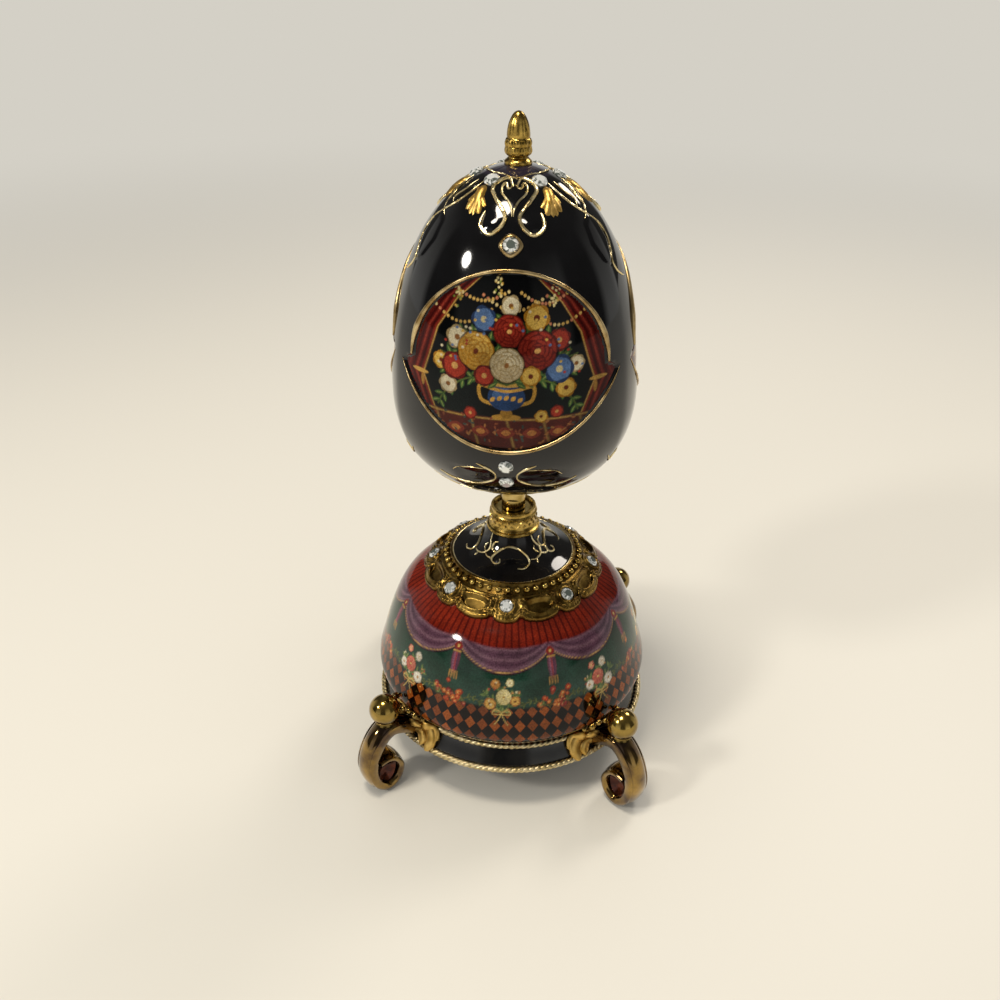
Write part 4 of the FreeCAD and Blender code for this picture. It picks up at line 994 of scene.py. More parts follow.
@dataclass
class Dome:
    """Printed porcelain dome: its profile and the generic festoons painted on it."""

    side: Rows = ((38.0, 20.6), (39.16, 22.38), (40.99, 24.74), (42.32, 26.71), (42.66, 28.56),
                  (42.27, 30.78), (41.29, 33.99), (39.28, 40.99), (37.02, 47.2), (34.59, 51.9),
                  (31.6, 55.2), (28.2, 57.6))
    top: tuple[float, float] = (18.0, 64.6)
    widest_r: float = 42.7
    columns: int = 680
    rows: int = 128
    check_top: float = 19.0
    repeats: int = 8
    swag_joint: float = 35.4
    swag_drop: float = 6.2
    border_low: float = 37.6
    border_rise: float = 0.9
    border_folds: int = 12
    fold_coats: int = 12
    seed: int = 7
    greens: tuple[str, ...] = ("#1c3a2c", "#2e4f42", "#3d5a50")
    line: Values = field(init=False)
    length: Values = field(init=False)

    def __post_init__(self) -> None:
        """Work out the profile and the length along it."""
        cone = np.linspace(self.side[-1], self.top, 12)[1:]
        self.line = np.vstack([smooth_line(self.side, 12), cone])
        steps = np.hypot(*np.diff(self.line, axis=0).T)
        self.length = np.concatenate([[0.0], np.cumsum(steps)])

    @property
    def slant(self) -> float:
        """Length of the profile."""
        return float(self.length[-1])

    def place(self, across: Values, up: Values) -> Values:
        """Points of the dome at shares of a turn and of the slant.

        Args:
            across: shares of a turn.
            up: shares of the slant.

        Returns:
            One row per point.
        """
        reach = up * self.slant
        radius = np.interp(reach, self.length, self.line[:, 0])
        height = np.interp(reach, self.length, self.line[:, 1])
        turn = across * FULL_TURN
        return turned_points(radius, turn, height)

    def swag_edge(self, share: Values) -> Values:
        """Height of the drapery's lower edge for a share of one repeat from its joint."""
        drop = np.sin(np.clip(share, 0.0, 1.0) * math.pi) ** 0.8
        return self.swag_joint - self.swag_drop * drop

    def paint(self, across: Values, up: Values) -> Values:
        """Painted colours: alpha is 0 where the diamond check shows.

        Args:
            across: shares of a turn.
            up: shares of the slant.

        Returns:
            Colours with alpha.
        """
        girth = FULL_TURN * self.widest_r
        x = across * girth
        y = up * self.slant
        canvas = Canvas(x, y, self.greens[0], around=girth)
        ground = soft_step(self.check_top - 0.15, self.check_top + 0.15, y)
        canvas.paint[:, 3] = ground
        broad = soft_step(34.0, 20.0, y) * (0.6 + 0.4 * np.sin(x * 0.35))
        canvas.wash(0.85 * ground * broad, self.greens[1])
        slow = soft_step(28.0, 20.0, y) * (0.5 + 0.5 * np.cos(x * 0.21 + 1.0))
        canvas.wash(0.6 * ground * slow, self.greens[2])
        self.paint_drapery(canvas, girth)
        draw = random.Random(self.seed)
        self.paint_sprays(canvas, girth, draw)
        self.paint_bushes(canvas, girth, draw)
        return canvas.paint

    def paint_drapery(self, canvas: Canvas, girth: float) -> None:
        """Red border and speckled mauve swags under the collar, with tassels at their joints.

        Args:
            canvas: canvas of the dome.
            girth: length after which it repeats.
        """
        pitch = girth / self.repeats
        share = ((canvas.x + pitch / 2) % pitch) / pitch
        edge = self.swag_edge(share)
        canvas.wash(soft_step(-0.15, 0.15, canvas.y - edge), "#674656")
        fold = np.abs((share - 0.5) * 2)
        for k in range(5):
            ridge = edge + 1.3 + k * 1.5 * (1 - 0.45 * fold)
            code = "#402636" if k % 2 else "#94707c"
            canvas.wash(0.55 * hump(canvas.y - ridge, 0.35) * (canvas.y < 41), code)
        canvas.wash(hump(canvas.y - edge, 0.22), "#2c1420")
        canvas.wash(0.9 * hump(canvas.y - edge - 0.55, 0.16), "#caa05a")
        border = self.border_low - self.border_rise * np.sin(share * math.pi)
        canvas.wash(soft_step(-0.4, 0.4, canvas.y - border), "#7c1d0c")
        canvas.wash(0.5 * soft_step(0.0, 3.0, canvas.y - border), "#94301a")
        crease = (share * self.border_folds + 0.5) % 1.0 - 0.5
        fold = 0.45 * hump(crease, 0.09) * (canvas.y > border)
        canvas.wash(1 - (1 - fold) ** self.fold_coats, "#54100a")
        for i in range(self.repeats):
            x = pitch * (i + 0.5)
            canvas.blot(x, 31.4, 4.6, 1.5, 90, "#6a3446")
            for shift, code in ((-0.7, "#8a5a70"), (0.0, "#a4404a"), (0.7, "#54304a")):
                canvas.blot(x + shift, 30.8, 4.2, 0.26, 90, code)
            canvas.blot(x, 35.2, 1.5, 1.2, 0, "#8c2a20")
            canvas.blot(x, 35.2, 0.6, 0.5, 0, "#d8b060")
            canvas.line([(x - 1.3, 33.6), (x + 1.3, 33.6)], 0.3, "#c79a4a")
            for shift in (-1.2, -0.4, 0.4, 1.2):
                canvas.line([(x + shift, 27.6), (x + shift * 1.2, 25.6)], 0.22, "#b98a48")

    def paint_sprays(self, canvas: Canvas, girth: float, draw: random.Random) -> None:
        """One tied spray of flowers under each swag, in two colourings.

        Args:
            canvas: canvas of the dome.
            girth: length after which it repeats.
            draw: chance source.
        """
        pitch = girth / self.repeats
        sets = ((("#e4cf86", "#f4e8b8", "#b07828"), ("#c9803c", "#eab75c", "#6a2a10")),
                (("#c85a48", "#eaa080", "#f0d880"), ("#dccfb8", "#f6efdc", "#c08a40")))
        for i in range(self.repeats):
            x = pitch * i
            large, small = sets[i % 2]
            lean = 1 if i % 2 else -1
            for way in (-1, 0, 1):
                tip = (x + way * 5.2 + lean * 0.8, 26.5 - abs(way) * 2.6)
                canvas.leafy([(x, 16.6), (x + way * 2.6, 20.5), tip], 0.16, "#7d8a4a",
                             ("#56703c", "#93a262"), 1.25, 4)
            canvas.rose(x - lean * 0.6, 22.4, 2.5, large, draw.uniform(0, 72))
            canvas.flower(x + lean * 3.6, 20.0, 1.9, 6, small, draw.uniform(0, 60))
            canvas.flower(x - lean * 4.2, 21.2, 1.6, 5, small, draw.uniform(0, 72))
            canvas.rose(x + lean * 2.2, 26.2, 1.5, small, draw.uniform(0, 72))
            canvas.flower(x - lean * 2.4, 26.8, 1.25, 5, large, draw.uniform(0, 72))
            for _ in range(9):
                a = draw.uniform(0, FULL_TURN)
                r = draw.uniform(3.4, 6.0)
                canvas.blot(x + r * math.cos(a), 22.6 + 0.8 * r * math.sin(a), 0.34, 0.34, 0,
                            draw.choice(("#e8dcae", "#d89a5a", "#c4503c")))
            for way in (-1, 1):
                canvas.line([(x, 17.4), (x + way * 1.9, 18.4), (x + way * 2.7, 17.0),
                             (x + way * 0.5, 16.8)], 0.2, "#d9b566")
                canvas.line([(x, 17.2), (x + way * 0.9, 15.2), (x + way * 2.0, 13.6)], 0.2, "#d9b566")

    def paint_bushes(self, canvas: Canvas, girth: float, draw: random.Random) -> None:
        """Low red and orange flower clumps between the sprays, standing on the check.

        Args:
            canvas: canvas of the dome.
            girth: length after which it repeats.
            draw: chance source.
        """
        pitch = girth / self.repeats
        for i in range(self.repeats):
            x = pitch * (i + 0.5)
            for _ in range(26):
                canvas.blot(x + draw.gauss(0, 2.6), 18.6 + abs(draw.gauss(0, 2.0)), 0.9, 0.4,
                            draw.uniform(0, 180), draw.choice(("#3d4a28", "#5a4a20", "#2c3a24")),
                            pointed=1.0)
            for _ in range(20):
                canvas.flower(x + draw.gauss(0, 2.4), 18.2 + abs(draw.gauss(0, 2.2)),
                              draw.uniform(0.6, 1.05), 5,
                              draw.choice((("#8c2c14", "#c8502a", "#e8b060"),
                                           ("#a8481c", "#d87a3a", "#f0d080"),
                                           ("#6f1f1a", "#a83a30", "#d8a070"))), draw.uniform(0, 72))
            rise = pitch * 0.26
            for way in (-1, 1):
                canvas.leafy([(x + way * 2.6, 19.0), (x + way * rise * 0.8, 21.0),
                              (x + way * rise * 1.3, 19.6)],
                             0.14, "#6f6a34", ("#4c5a2e", "#7f8a4c"), 0.8, 4)

    def build(self) -> None:
        """Make the dome."""
        bm = grid_sheet(self.columns, self.rows, self.place, self.paint)
        finish = CheckPrint("printed_dome_glaze", height=self.slant)
        publish("porcelain_dome", bm, finish, Body.BASE, Slot.DECORATED, "base_dome", crease=180)


@dataclass
class Plinth:
    """Black band with the two rope trims."""

    top_r: float = 38.2
    bottom_r: float = 42.0
    top_z: float = 20.6
    bottom_z: float = 14.3
    rope_r: float = 0.9
    upper_ring: tuple[float, float] = (38.5, 20.87)
    lower_ring: tuple[float, float] = (42.3, 14.93)
    strands: int = 3
    lay_mm: float = 5.1
    around: int = 6
    seat_r: float = 34.6
    seat_rise: float = 2.4
    lip_w: float = 2.6
    recess_w: float = 5.4
    recess_rise: float = 0.9
    flare_shares: Rows = ((0.0, 0.0), (0.26, 0.3), (0.66, 0.66), (1.0, 1.0))

    def rope(self, ring_r: float, ring_z: float) -> Mesh:
        """Rope of laid strands along a ring.

        Args:
            ring_r: radius of its middle line.
            ring_z: height of its middle line.

        Returns:
            The mesh.
        """
        turns = round(FULL_TURN * ring_r / self.lay_mm)

        def place(across: Values, up: Values) -> Values:
            """Points of the rope.

            Args:
                across: shares of its ring.
                up: shares of its section.

            Returns:
                One row per point.
            """
            angle = across * FULL_TURN
            side = up * FULL_TURN
            lay = np.abs(np.cos(self.strands / 2 * (side - turns * angle)))
            reach = self.rope_r * (0.64 + 0.38 * lay ** 0.7)
            radius = ring_r + reach * np.cos(side)
            return turned_points(radius, angle, ring_z + reach * np.sin(side))

        return grid_sheet(turns * self.strands * self.around, 18, place)

    def build(self) -> None:
        """Make the band and both ropes."""
        flare = self.bottom_r - self.top_r
        fall = self.top_z - self.bottom_z
        outer = smooth_line([(self.top_r + flare * out, self.top_z - fall * down)
                             for out, down in self.flare_shares], 8)
        inner = [(self.bottom_r - self.lip_w, self.bottom_z),
                 (self.bottom_r - self.recess_w, self.bottom_z + self.recess_rise),
                 (self.seat_r, self.bottom_z + self.seat_rise), (self.seat_r, self.top_z),
                 (self.top_r, self.top_z)]
        band = turned([*outer, *inner], 256)
        publish("plinth_band", band, BLACK_ENAMEL, Body.BASE, Slot.ENAMEL, "plinth_ring", crease=35)
        for side, ring in (("upper", self.upper_ring), ("lower", self.lower_ring)):
            publish(f"rope_trim_{side}", self.rope(*ring), ROPE_GILT, Body.BASE, Slot.ROPE, f"{side}_rope",
                    crease=75)


@dataclass
class CutStone:
    """Round cut stone, table up, standing on the origin."""

    radius: float = 1.95
    sink: float = 0.6
    girdle: float = 0.25
    crown: float = 0.8
    table: float = 0.55

    def blank(self, draw: random.Random) -> Mesh:
        """The stone with eight main facets and their stars, each with its own painted reflection tone.

        Args:
            draw: chance source for the painted reflection of each facet.

        Returns:
            The mesh.
        """
        rings = []
        for reach, height in ((1.0, -self.sink), (1.0, self.girdle), (0.86, self.girdle + self.crown * 0.5),
                              (self.table, self.girdle + self.crown)):
            ring = []
            for i in range(16):
                flat = math.cos(math.pi / 8) if reach == self.table and i % 2 == 0 else 1.0
                out = self.radius * reach * flat
                a = FULL_TURN * i / 16
                ring.append((out * math.cos(a), out * math.sin(a), height))
            rings.append(ring)
        bm = loft(rings)
        bmesh.ops.triangulate(bm, faces=[face for face in bm.faces if len(face.verts) == 4])
        # Each facet gets a random painted reflection tone, light or dark
        layer = bm.faces.layers.float.new("painted_reflection")
        # Extruding makes faces in an order that changes from run to run, so they are taken by place
        for face in sorted(bm.faces, key=lambda item: [round(c, 3) for c in item.calc_center_median()]):
            face[layer] = draw.random()
        return bm


@dataclass
class Setting:
    """A stone at a point of the surface, with its frame."""

    point: Vector
    normal: Vector

    def frame(self) -> Matrix:
        """Matrix that stands a piece on the point along the normal."""
        turn = self.normal.to_track_quat("Z", "Y").to_matrix().to_4x4()
        return Matrix.Translation(self.point) @ turn


def stones(name: str, settings: Iterable[Setting], body: Body, node: str, seed: int) -> None:
    """Place cut stones and publish them as one piece.

    Args:
        name: piece name.
        settings: where the stones stand.
        body: body that they ride on.
        node: CAD node that they replace.
        seed: start of the chance that turns each stone and sets the painted reflections of its facets.
    """
    cut = CutStone()
    draw = random.Random(seed)
    parts = []
    for setting in settings:
        stone = cut.blank(draw)
        bmesh.ops.transform(stone, matrix=setting.frame() @ Matrix.Rotation(draw.uniform(0, 0.4), 4, "Z"),
                            verts=stone.verts)
        parts.append(stone)
    publish(name, joined(parts), CRYSTAL, body, Slot.CRYSTAL, node, crease=0)


@dataclass
class Collar:
    """Scalloped gilt collar: relief of cartouches and shells, bead ring, and eight stones."""

    inner_r: float = 18.4
    outer_r: float = 27.4
    rim_z: float = 66.2
    thickness: float = 1.45
    top: tuple[float, float] = (18.0, 64.6)
    slope: float = 0.6863
    lobes: int = 8
    gem_r: float = 24.2
    bead_ring_r: float = 20.3
    bead_r: float = 0.9
    bead_lift: float = 0.05
    beads: int = 46
    cup_profile: Rows = ((1.2, -0.9), (2.75, -0.9), (2.75, 0.1), (2.5, 0.42), (2.2, 0.5), (1.95, 0.3),
                         (1.9, -0.4))
    roll_h: float = 0.42
    roll_in: float = 0.55
    roll_w: float = 0.42
    ridge_h: float = 0.30
    ridge_ring_r: float = 21.75
    ridge_w: float = 0.22
    boss_h: float = 0.55
    boss_top_r: float = 2.5
    boss_foot_r: float = 3.3
    well_ring_r: float = 24.5
    well_half_l: float = 4.3
    well_half_w: float = 1.75
    well_bow: float = 0.0105
    well_depth: float = 0.75
    well_rim_h: float = 0.52
    curls: Rows = ((4.6, 25.6), (4.3, 23.0))
    curl_r: float = 0.62
    columns: int = 720
    rows: int = 64
    edge_shares: Rows = ((0.0, 1.0), (0.13, 0.985), (0.21, 0.95), (0.29, 0.978), (0.5, 1.0), (0.71, 0.978),
                         (0.79, 0.95), (0.87, 0.985), (1.0, 1.0))

    def cone_z(self, radius: Values) -> Values:
        """Height of the dome's cone at a radius."""
        return self.top[1] - (radius - self.top[0]) * self.slope

    def top_z(self, radius: float) -> float:
        """Height of the collar's plain top at a radius."""
        return float(self.cone_z(radius) + self.thickness * math.hypot(1.0, self.slope))

    def edge(self, across: Values) -> Values:
        """Radius of the scalloped edge at shares of a turn."""
        line = smooth_line(self.edge_shares, 10)
        return self.outer_r * np.interp((across * self.lobes) % 1.0, line[:, 0], line[:, 1])

    def relief(self, across: Values, radius: Values, edge: Values) -> Values:
        """Height of the ornament over the collar's ground, in millimetres.

        Args:
            across: shares of a turn.
            radius: radii.
            edge: radius of the scalloped edge at each place.

        Returns:
            Heights.
        """
        lobe = (across * self.lobes + 0.5) % 1.0 - 0.5
        pitch = FULL_TURN / self.lobes
        side = np.abs(lobe) * pitch * radius
        mid_side = (0.5 - np.abs(lobe)) * pitch * radius
        rise = self.roll_h * hump(radius - edge + self.roll_in, self.roll_w)
        rise += self.ridge_h * hump(radius - self.ridge_ring_r, self.ridge_w)
        boss = np.hypot(side, radius - self.gem_r)
        rise += self.boss_h * soft_step(self.boss_foot_r, self.boss_top_r, boss)
        well_line = radius - self.well_ring_r + self.well_bow * mid_side ** 2
        well = np.hypot(mid_side / self.well_half_l, well_line / self.well_half_w)
        rise -= self.well_depth * soft_step(1.0, 0.75, well)
        rise += self.well_rim_h * hump(well - 1.12, 0.16)
        for reach, ring_r in self.curls:
            curl = np.hypot(side - reach, radius - ring_r)
            rise += 0.45 * hump(curl - self.curl_r, 0.22) + 0.30 * hump(curl, 0.25)
        flutes = np.cos(side * FULL_TURN / 1.0) * soft_step(3.4, 2.2, side) * soft_step(25.6, 26.2, radius)
        rise += 0.10 * flutes
        wave = np.cos(mid_side * FULL_TURN / 1.3) * soft_step(1.15, 1.4, well)
        return rise + 0.02 * (wave * soft_step(22.4, 22.8, radius))

    def place(self, across: Values, up: Values) -> Values:
        """Closed section of the collar: up the rim, out over the relief, round the edge and back below.

        Args:
            across: shares of a turn.
            up: shares of the section.

        Returns:
            One row per point.
        """
        edge = self.edge(across)
        path = np.array([(0.0, 0.0), (0.06, 0.0), (0.09, 0.07), (0.13, 0.11), (0.90, 0.99), (0.94, 1.0),
                         (1.0, 1.0)])
        share = np.interp(up, path[:, 0], path[:, 1])
        radius = self.inner_r + share * (edge - self.inner_r)
        thick = self.thickness * math.hypot(1.0, self.slope) * 0.82
        over = self.cone_z(radius) + thick + self.relief(across, radius, edge)
        rim = soft_step(self.inner_r + 1.1, self.inner_r + 0.5, radius)
        height = over * (1 - rim) + self.rim_z * rim
        side = soft_step(0.93, 1.0, up)
        height = height * (1 - side) + (self.cone_z(edge) - 0.15) * side
        inner = soft_step(0.06, 0.0, up)
        height = height * (1 - inner) + (self.cone_z(radius) - 0.1) * inner
        bulge = 0.28 * np.sin(np.clip((up - 0.9) / 0.1, 0, 1) * math.pi)
        return turned_points(radius + bulge, across * FULL_TURN, height)

    def build(self) -> None:
        """Make the collar, its beads and its stones."""
        self.build_beads()
        normal = Vector((0, -self.slope, 1)).normalized()
        seat = azimuth_point(self.gem_r, 0, self.top_z(self.gem_r))
        cup = turned(self.cup_profile, 32)
        bmesh.ops.transform(cup, matrix=Setting(seat, normal).frame(), verts=cup.verts)
        whole = joined([grid_sheet(self.columns, self.rows, self.place), ring_of(cup, self.lobes)])
        publish("scalloped_collar", whole, ANTIQUE_GILT, Body.BASE, Slot.ANTIQUE, "gilt_collar", crease=70)
        settings = []
        for i in range(self.lobes):
            turn = Matrix.Rotation(FULL_TURN * i / self.lobes, 3, "Z")
            settings.append(Setting(turn @ seat, turn @ normal))
        stones("collar_stones", settings, Body.BASE, "collar_crystals", 3)

    def build_beads(self) -> None:
        """Make the ring of beads."""
        bead = bmesh.new()
        bmesh.ops.create_icosphere(bead, subdivisions=2, radius=self.bead_r)
        spot = azimuth_point(self.bead_ring_r, 0, self.top_z(self.bead_ring_r) + self.bead_lift)
        bmesh.ops.translate(bead, vec=spot, verts=bead.verts)
        publish("collar_bead_ring", ring_of(bead, self.beads), BEAD_GILT, Body.BASE, Slot.ANTIQUE,
                crease=180)


@dataclass
class Neck:
    """Black porcelain neck with gilt scrolls."""

    foot_r: float = 18.3
    foot_z: float = 66.0
    base_z: float = 64.6
    top_r: float = 7.9
    top_z: float = 74.5
    curve: Rows = ((0.66, 0.17), (0.35, 0.43), (0.13, 0.71))
    bore_r: float = 5.0
    mouth_r: float = 13.5
    lip: float = 0.3
    chamfer: float = 0.2
    scroll: Rows = ((10, 0.34), (18, 0.33), (26, 0.44), (25, 0.60), (14, 0.76), (-2, 0.82), (-16, 0.74),
                    (-25, 0.60), (-26, 0.48), (-19, 0.41), (-14, 0.46), (-15, 0.53))
    branch: Rows = ((-25, 0.62), (-33, 0.72), (-32, 0.84), (-25, 0.88))
    stem: Rows = ((45, 1.0), (47, 0.86), (53, 0.70), (49, 0.56), (38, 0.49), (30, 0.50))
    twigs: tuple[Rows, ...] = (((53, 0.70), (66, 0.66), (74, 0.72)), ((49, 0.56), (58, 0.50), (64, 0.54)),
                               ((48, 0.58), (42, 0.68), (44, 0.77)), ((38, 0.49), (38, 0.42), (37, 0.38)))
    line: Values = field(init=False)

    def __post_init__(self) -> None:
        """Work out the profile."""
        rows = [(self.foot_r, self.foot_z)]
        for r_share, z_share in self.curve:
            rows.append((self.top_r + (self.foot_r - self.top_r) * r_share,
                         self.foot_z + (self.top_z - self.foot_z) * z_share))
        rows.append((self.top_r, self.top_z))
        self.line = smooth_line(rows, 10)

    def spot(self, turn: float, share: float, lift: float = 0.1) -> Values:
        """Point on the neck at an angle and a share of its slant.

        Args:
            turn: angle in degrees.
            share: share of the slant.
            lift: distance over the glaze.

        Returns:
            The point.
        """
        steps = np.hypot(*np.diff(self.line, axis=0).T)
        length = np.concatenate([[0.0], np.cumsum(steps)]) / steps.sum()
        radius = float(np.interp(share, length, self.line[:, 0])) + lift
        height = float(np.interp(share, length, self.line[:, 1])) + lift
        return np.array(azimuth_point(radius, turn, height))

    def drawn(self, rows: Sequence[Row], radius: float, first: float) -> Stroke:
        """Stroke through (angle, share) rows laid on the neck.

        Args:
            rows: angles and shares of the slant.
            radius: full half width.
            first: angle that the rows start from.

        Returns:
            The stroke.
        """
        path = smooth_line(rows, 7)
        points = np.array([self.spot(first + turn, share) for turn, share in path])
        share = np.linspace(0, 1, len(points))
        return Stroke(points, radius * (0.4 + 0.6 * np.sin(share * math.pi)))

    def scrolls(self) -> Mesh:
        """Gilt scrolls: an S scroll on four sides and a sprig between each two.

        Returns:
            The mesh.
        """
        strokes = []
        for quarter in range(4):
            first = 90.0 * quarter
            strokes.append(self.drawn(self.scroll, 0.42, first))
            strokes += [self.drawn(rows, 0.34, first) for rows in (self.branch, self.stem)]
            strokes += [self.drawn(rows, 0.3, first) for rows in self.twigs]
        return wires(strokes, 1)

    def build(self) -> None:
        """Make the neck, its scrolls and its gold edge."""
        bell = turned([(self.mouth_r, self.base_z), (self.foot_r - self.chamfer, self.base_z),
                       (self.foot_r, self.base_z + self.lip), (self.foot_r, self.foot_z - self.lip / 2),
                       *self.line[1:], (self.bore_r, self.top_z), (self.bore_r, self.foot_z)])
        publish("porcelain_neck", bell, BLACK_PORCELAIN, Body.BASE, Slot.BLACK, "neck_bell", crease=50)
        publish("neck_scrolls", self.scrolls(), LINE_GILT, Body.BASE, Slot.BRIGHT, crease=60)
        rim = turned([(self.foot_r + 0.28 * math.cos(a), 65.95 + 0.22 * math.sin(a))
                      for a in np.linspace(0, FULL_TURN, 9)], 160)
        publish("neck_gold_edge", rim, LINE_GILT, Body.BASE, Slot.BRIGHT, crease=60)


@dataclass
class Ferrule:
    """Turned brass ferrule: flange, stamped band, rolled rim and a recessed disc."""

    profile: Rows = ((5.0, 74.45), (7.6, 74.45), (7.95, 74.7), (8.0, 75.1), (7.8, 75.45), (7.25, 75.65),
                     (7.05, 75.95), (7.15, 76.3), (6.95, 76.6), (6.85, 77.0), (6.85, 79.3), (6.95, 79.7),
                     (7.1, 80.0), (6.9, 80.3), (6.65, 80.5), (6.6, 81.2), (6.7, 81.55), (6.6, 81.75),
                     (6.35, 81.8), (6.0, 81.7), (5.75, 81.35), (5.7, 80.6), (5.0, 80.6))
    stud_ring_r: float = 6.95
    stud_foot_r: float = 0.72
    stud_top_r: float = 0.25
    stud_h: float = 0.5
    stud_rows: tuple[float, ...] = (77.55, 78.75)
    studs: int = 22

    def stud(self, turn: float, height: float) -> Mesh:
        """Four-sided stud of the stamped band at an angle in degrees and a height.

        Args:
            turn: angle.
            height: height.

        Returns:
            The mesh.
        """
        stud = bmesh.new()
        bmesh.ops.create_cone(stud, cap_ends=True, segments=4, radius1=self.stud_foot_r,
                              radius2=self.stud_top_r, depth=self.stud_h)
        setting = Setting(azimuth_point(self.stud_ring_r, turn, height), azimuth_point(1.0, turn, 0.0))
        bmesh.ops.transform(stud, matrix=setting.frame(), verts=stud.verts)
        return stud

    def build(self) -> None:
        """Make the ferrule."""
        parts = [turned(self.profile, 128)]
        for i in range(self.studs):
            for row, height in enumerate(self.stud_rows):
                parts.append(self.stud((i + 0.5 * row) * 360.0 / self.studs, height))
        publish("turned_ferrule", joined(parts), FERRULE_BRASS, Body.BASE, Slot.BRASS, "neck_ferrule",
                crease=35)


@dataclass
class Foot:
    """Gilt scroll foot: a convex ribbon that rolls up below, with its ball, pearls and leaves."""

    width: float = 8.0
    root_r: float = 40.0
    reach: float = 17.3
    height: float = 23.2
    half_t: float = 2.7
    hollow_r: float = 4.3
    feet: int = 4
    first_turn: float = 45.0
    floor_gap: float = 0.02
    ball_r: float = 4.6
    ball_ring_r: float = 49.8
    ball_z: float = 29.6
    line: Rows = ((0.0, 0.76, 0.80), (0.25, 0.905, 0.85), (0.52, 0.985, 0.94), (0.77, 0.885, 0.94),
                  (0.95, 0.66, 0.86), (1.015, 0.42, 0.74), (0.93, 0.185, 0.64), (0.72, 0.062, 0.58),
                  (0.51, 0.14, 0.54), (0.43, 0.32, 0.50), (0.53, 0.485, 0.46), (0.69, 0.55, 0.42),
                  (0.86, 0.54, 0.36))
    pearl_rows: Rows = ((43.1, 7.0, 26.6, 1.15), (44.0, 4.9, 28.0, 0.9), (45.2, 3.2, 28.9, 0.75),
                        (41.2, 8.9, 24.6, 0.9))
    flare: Rows = ((13.2, 42.6), (14.3, 42.0), (16.4, 40.7), (18.7, 39.2), (20.6, 38.2), (21.6, 39.4),
                   (24.0, 42.5))
    arc_r: float = 42.0
    leaf_lobes: tuple[tuple[Rows, float, float], ...] = (
        (((2.2, 20.4, 2.6), (5.0, 20.8, 1.8), (7.8, 19.4, 1.2), (9.3, 16.8, 1.0), (9.2, 14.6, 1.3)),
         2.7, 1.15),
        (((3.4, 20.8, 2.0), (6.8, 21.4, 1.4), (9.6, 20.2, 1.0), (11.6, 17.9, 0.9)), 2.1, 1.0),
        (((3.0, 18.8, 2.2), (5.2, 18.4, 1.7), (6.6, 16.8, 1.4), (7.0, 15.4, 1.4)), 1.9, 1.0),
        (((1.8, 21.4, 3.2), (4.2, 22.6, 2.1), (6.4, 22.5, 1.3)), 1.3, 0.85))

    def section(self, half_w: float, half_t: float) -> list[tuple[float, float]]:
        """Ribbon section as (across, outward) points: bowed outside with beaded edges, flat inside.

        Args:
            half_w: half width.
            half_t: half thickness.

        Returns:
            Points of the section.
        """
        outer = [(-1.0, -0.30), (-0.99, 0.25), (-0.93, 0.52), (-0.84, 0.60), (-0.77, 0.52), (-0.66, 0.70),
                 (-0.45, 0.90), (-0.22, 0.99), (0.0, 1.02)]
        right = [(-x, y) for x, y in outer[-2::-1]]
        inner = [(0.90, -0.78), (0.6, -0.94), (0.25, -0.98), (-0.25, -0.98), (-0.6, -0.94), (-0.90, -0.78)]
        return [(x * half_w, y * half_t) for x, y in outer + right + inner]

    def ribbon(self) -> Mesh:
        """The scroll at +X, in the plane through the object's middle.

        Returns:
            The mesh.
        """
        path = smooth_line(self.line, 7)
        spots = np.stack([self.root_r + path[:, 0] * self.reach, path[:, 1] * self.height], axis=1)
        runs = np.gradient(spots, axis=0)
        rings = []
        for i, (spot, run) in enumerate(zip(spots, runs)):
            run = run / np.hypot(*run)
            side = np.array([-run[1], run[0]])
            share = i / (len(spots) - 1)
            half_w = self.width / 2 * (1.0 - 0.10 * math.sin(min(share * 2.2, 1.0) * math.pi)
                                       + 0.06 * soft_step(0.45, 0.6, np.array(share)))
            ring = []
            for across, outward in self.section(float(half_w), self.half_t * path[i, 2]):
                x, z = spot + side * outward
                ring.append((x, across, max(z, self.floor_gap)))
            rings.append(ring)
        return loft(rings)

    def hollow(self) -> Mesh:
        """Dished web that closes the curl, recessed on both sides.

        Returns:
            The mesh.
        """
        half = self.width / 2
        profile = [(0.0, -0.12 * half), (1.4, -0.16 * half), (2.6, -0.34 * half),
                   (self.hollow_r, -0.62 * half), (self.hollow_r, 0.62 * half),
                   (2.6, 0.34 * half), (1.4, 0.16 * half), (0.0, 0.12 * half)]
        web = turned(profile, 40)
        centre = (self.root_r + 0.715 * self.reach, 0.0, 0.31 * self.height)
        turn = Matrix.Translation(centre) @ Matrix.Rotation(math.pi / 2, 4, "X")
        bmesh.ops.transform(web, matrix=turn, verts=web.verts)
        return web

    def ball(self) -> Mesh:
        """Ball on a short waisted stem with a ring.

        Returns:
            The mesh.
        """
        r = self.ball_r
        profile = [(0.0, self.ball_z + r)]
        for i in range(1, 19):
            a = math.pi * i / 22
            profile.append((r * math.sin(a), self.ball_z + r * math.cos(a)))
        low = self.ball_z - r
        profile += [(2.5, low + 0.15), (2.9, low - 0.35), (2.7, low - 0.9), (2.0, low - 1.3),
                    (2.3, low - 2.4), (0.0, low - 2.4)]
        bm = turned(profile, 64)
        bmesh.ops.translate(bm, vec=(self.ball_ring_r, 0, 0), verts=bm.verts)
        return bm

    def pearls(self) -> Mesh:
        """Row of small pearls from the dome to the ball on each side.

        Returns:
            The mesh.
        """
        parts = []
        for hand in (-1, 1):
            for radius, turn, height, size in self.pearl_rows:
                pearl = bmesh.new()
                bmesh.ops.create_icosphere(pearl, subdivisions=3, radius=size)
                a = math.radians(turn * hand)
                bmesh.ops.translate(pearl, vec=(radius * math.cos(a), radius * math.sin(a), height),
                                    verts=pearl.verts)
                parts.append(pearl)
        return joined(parts)

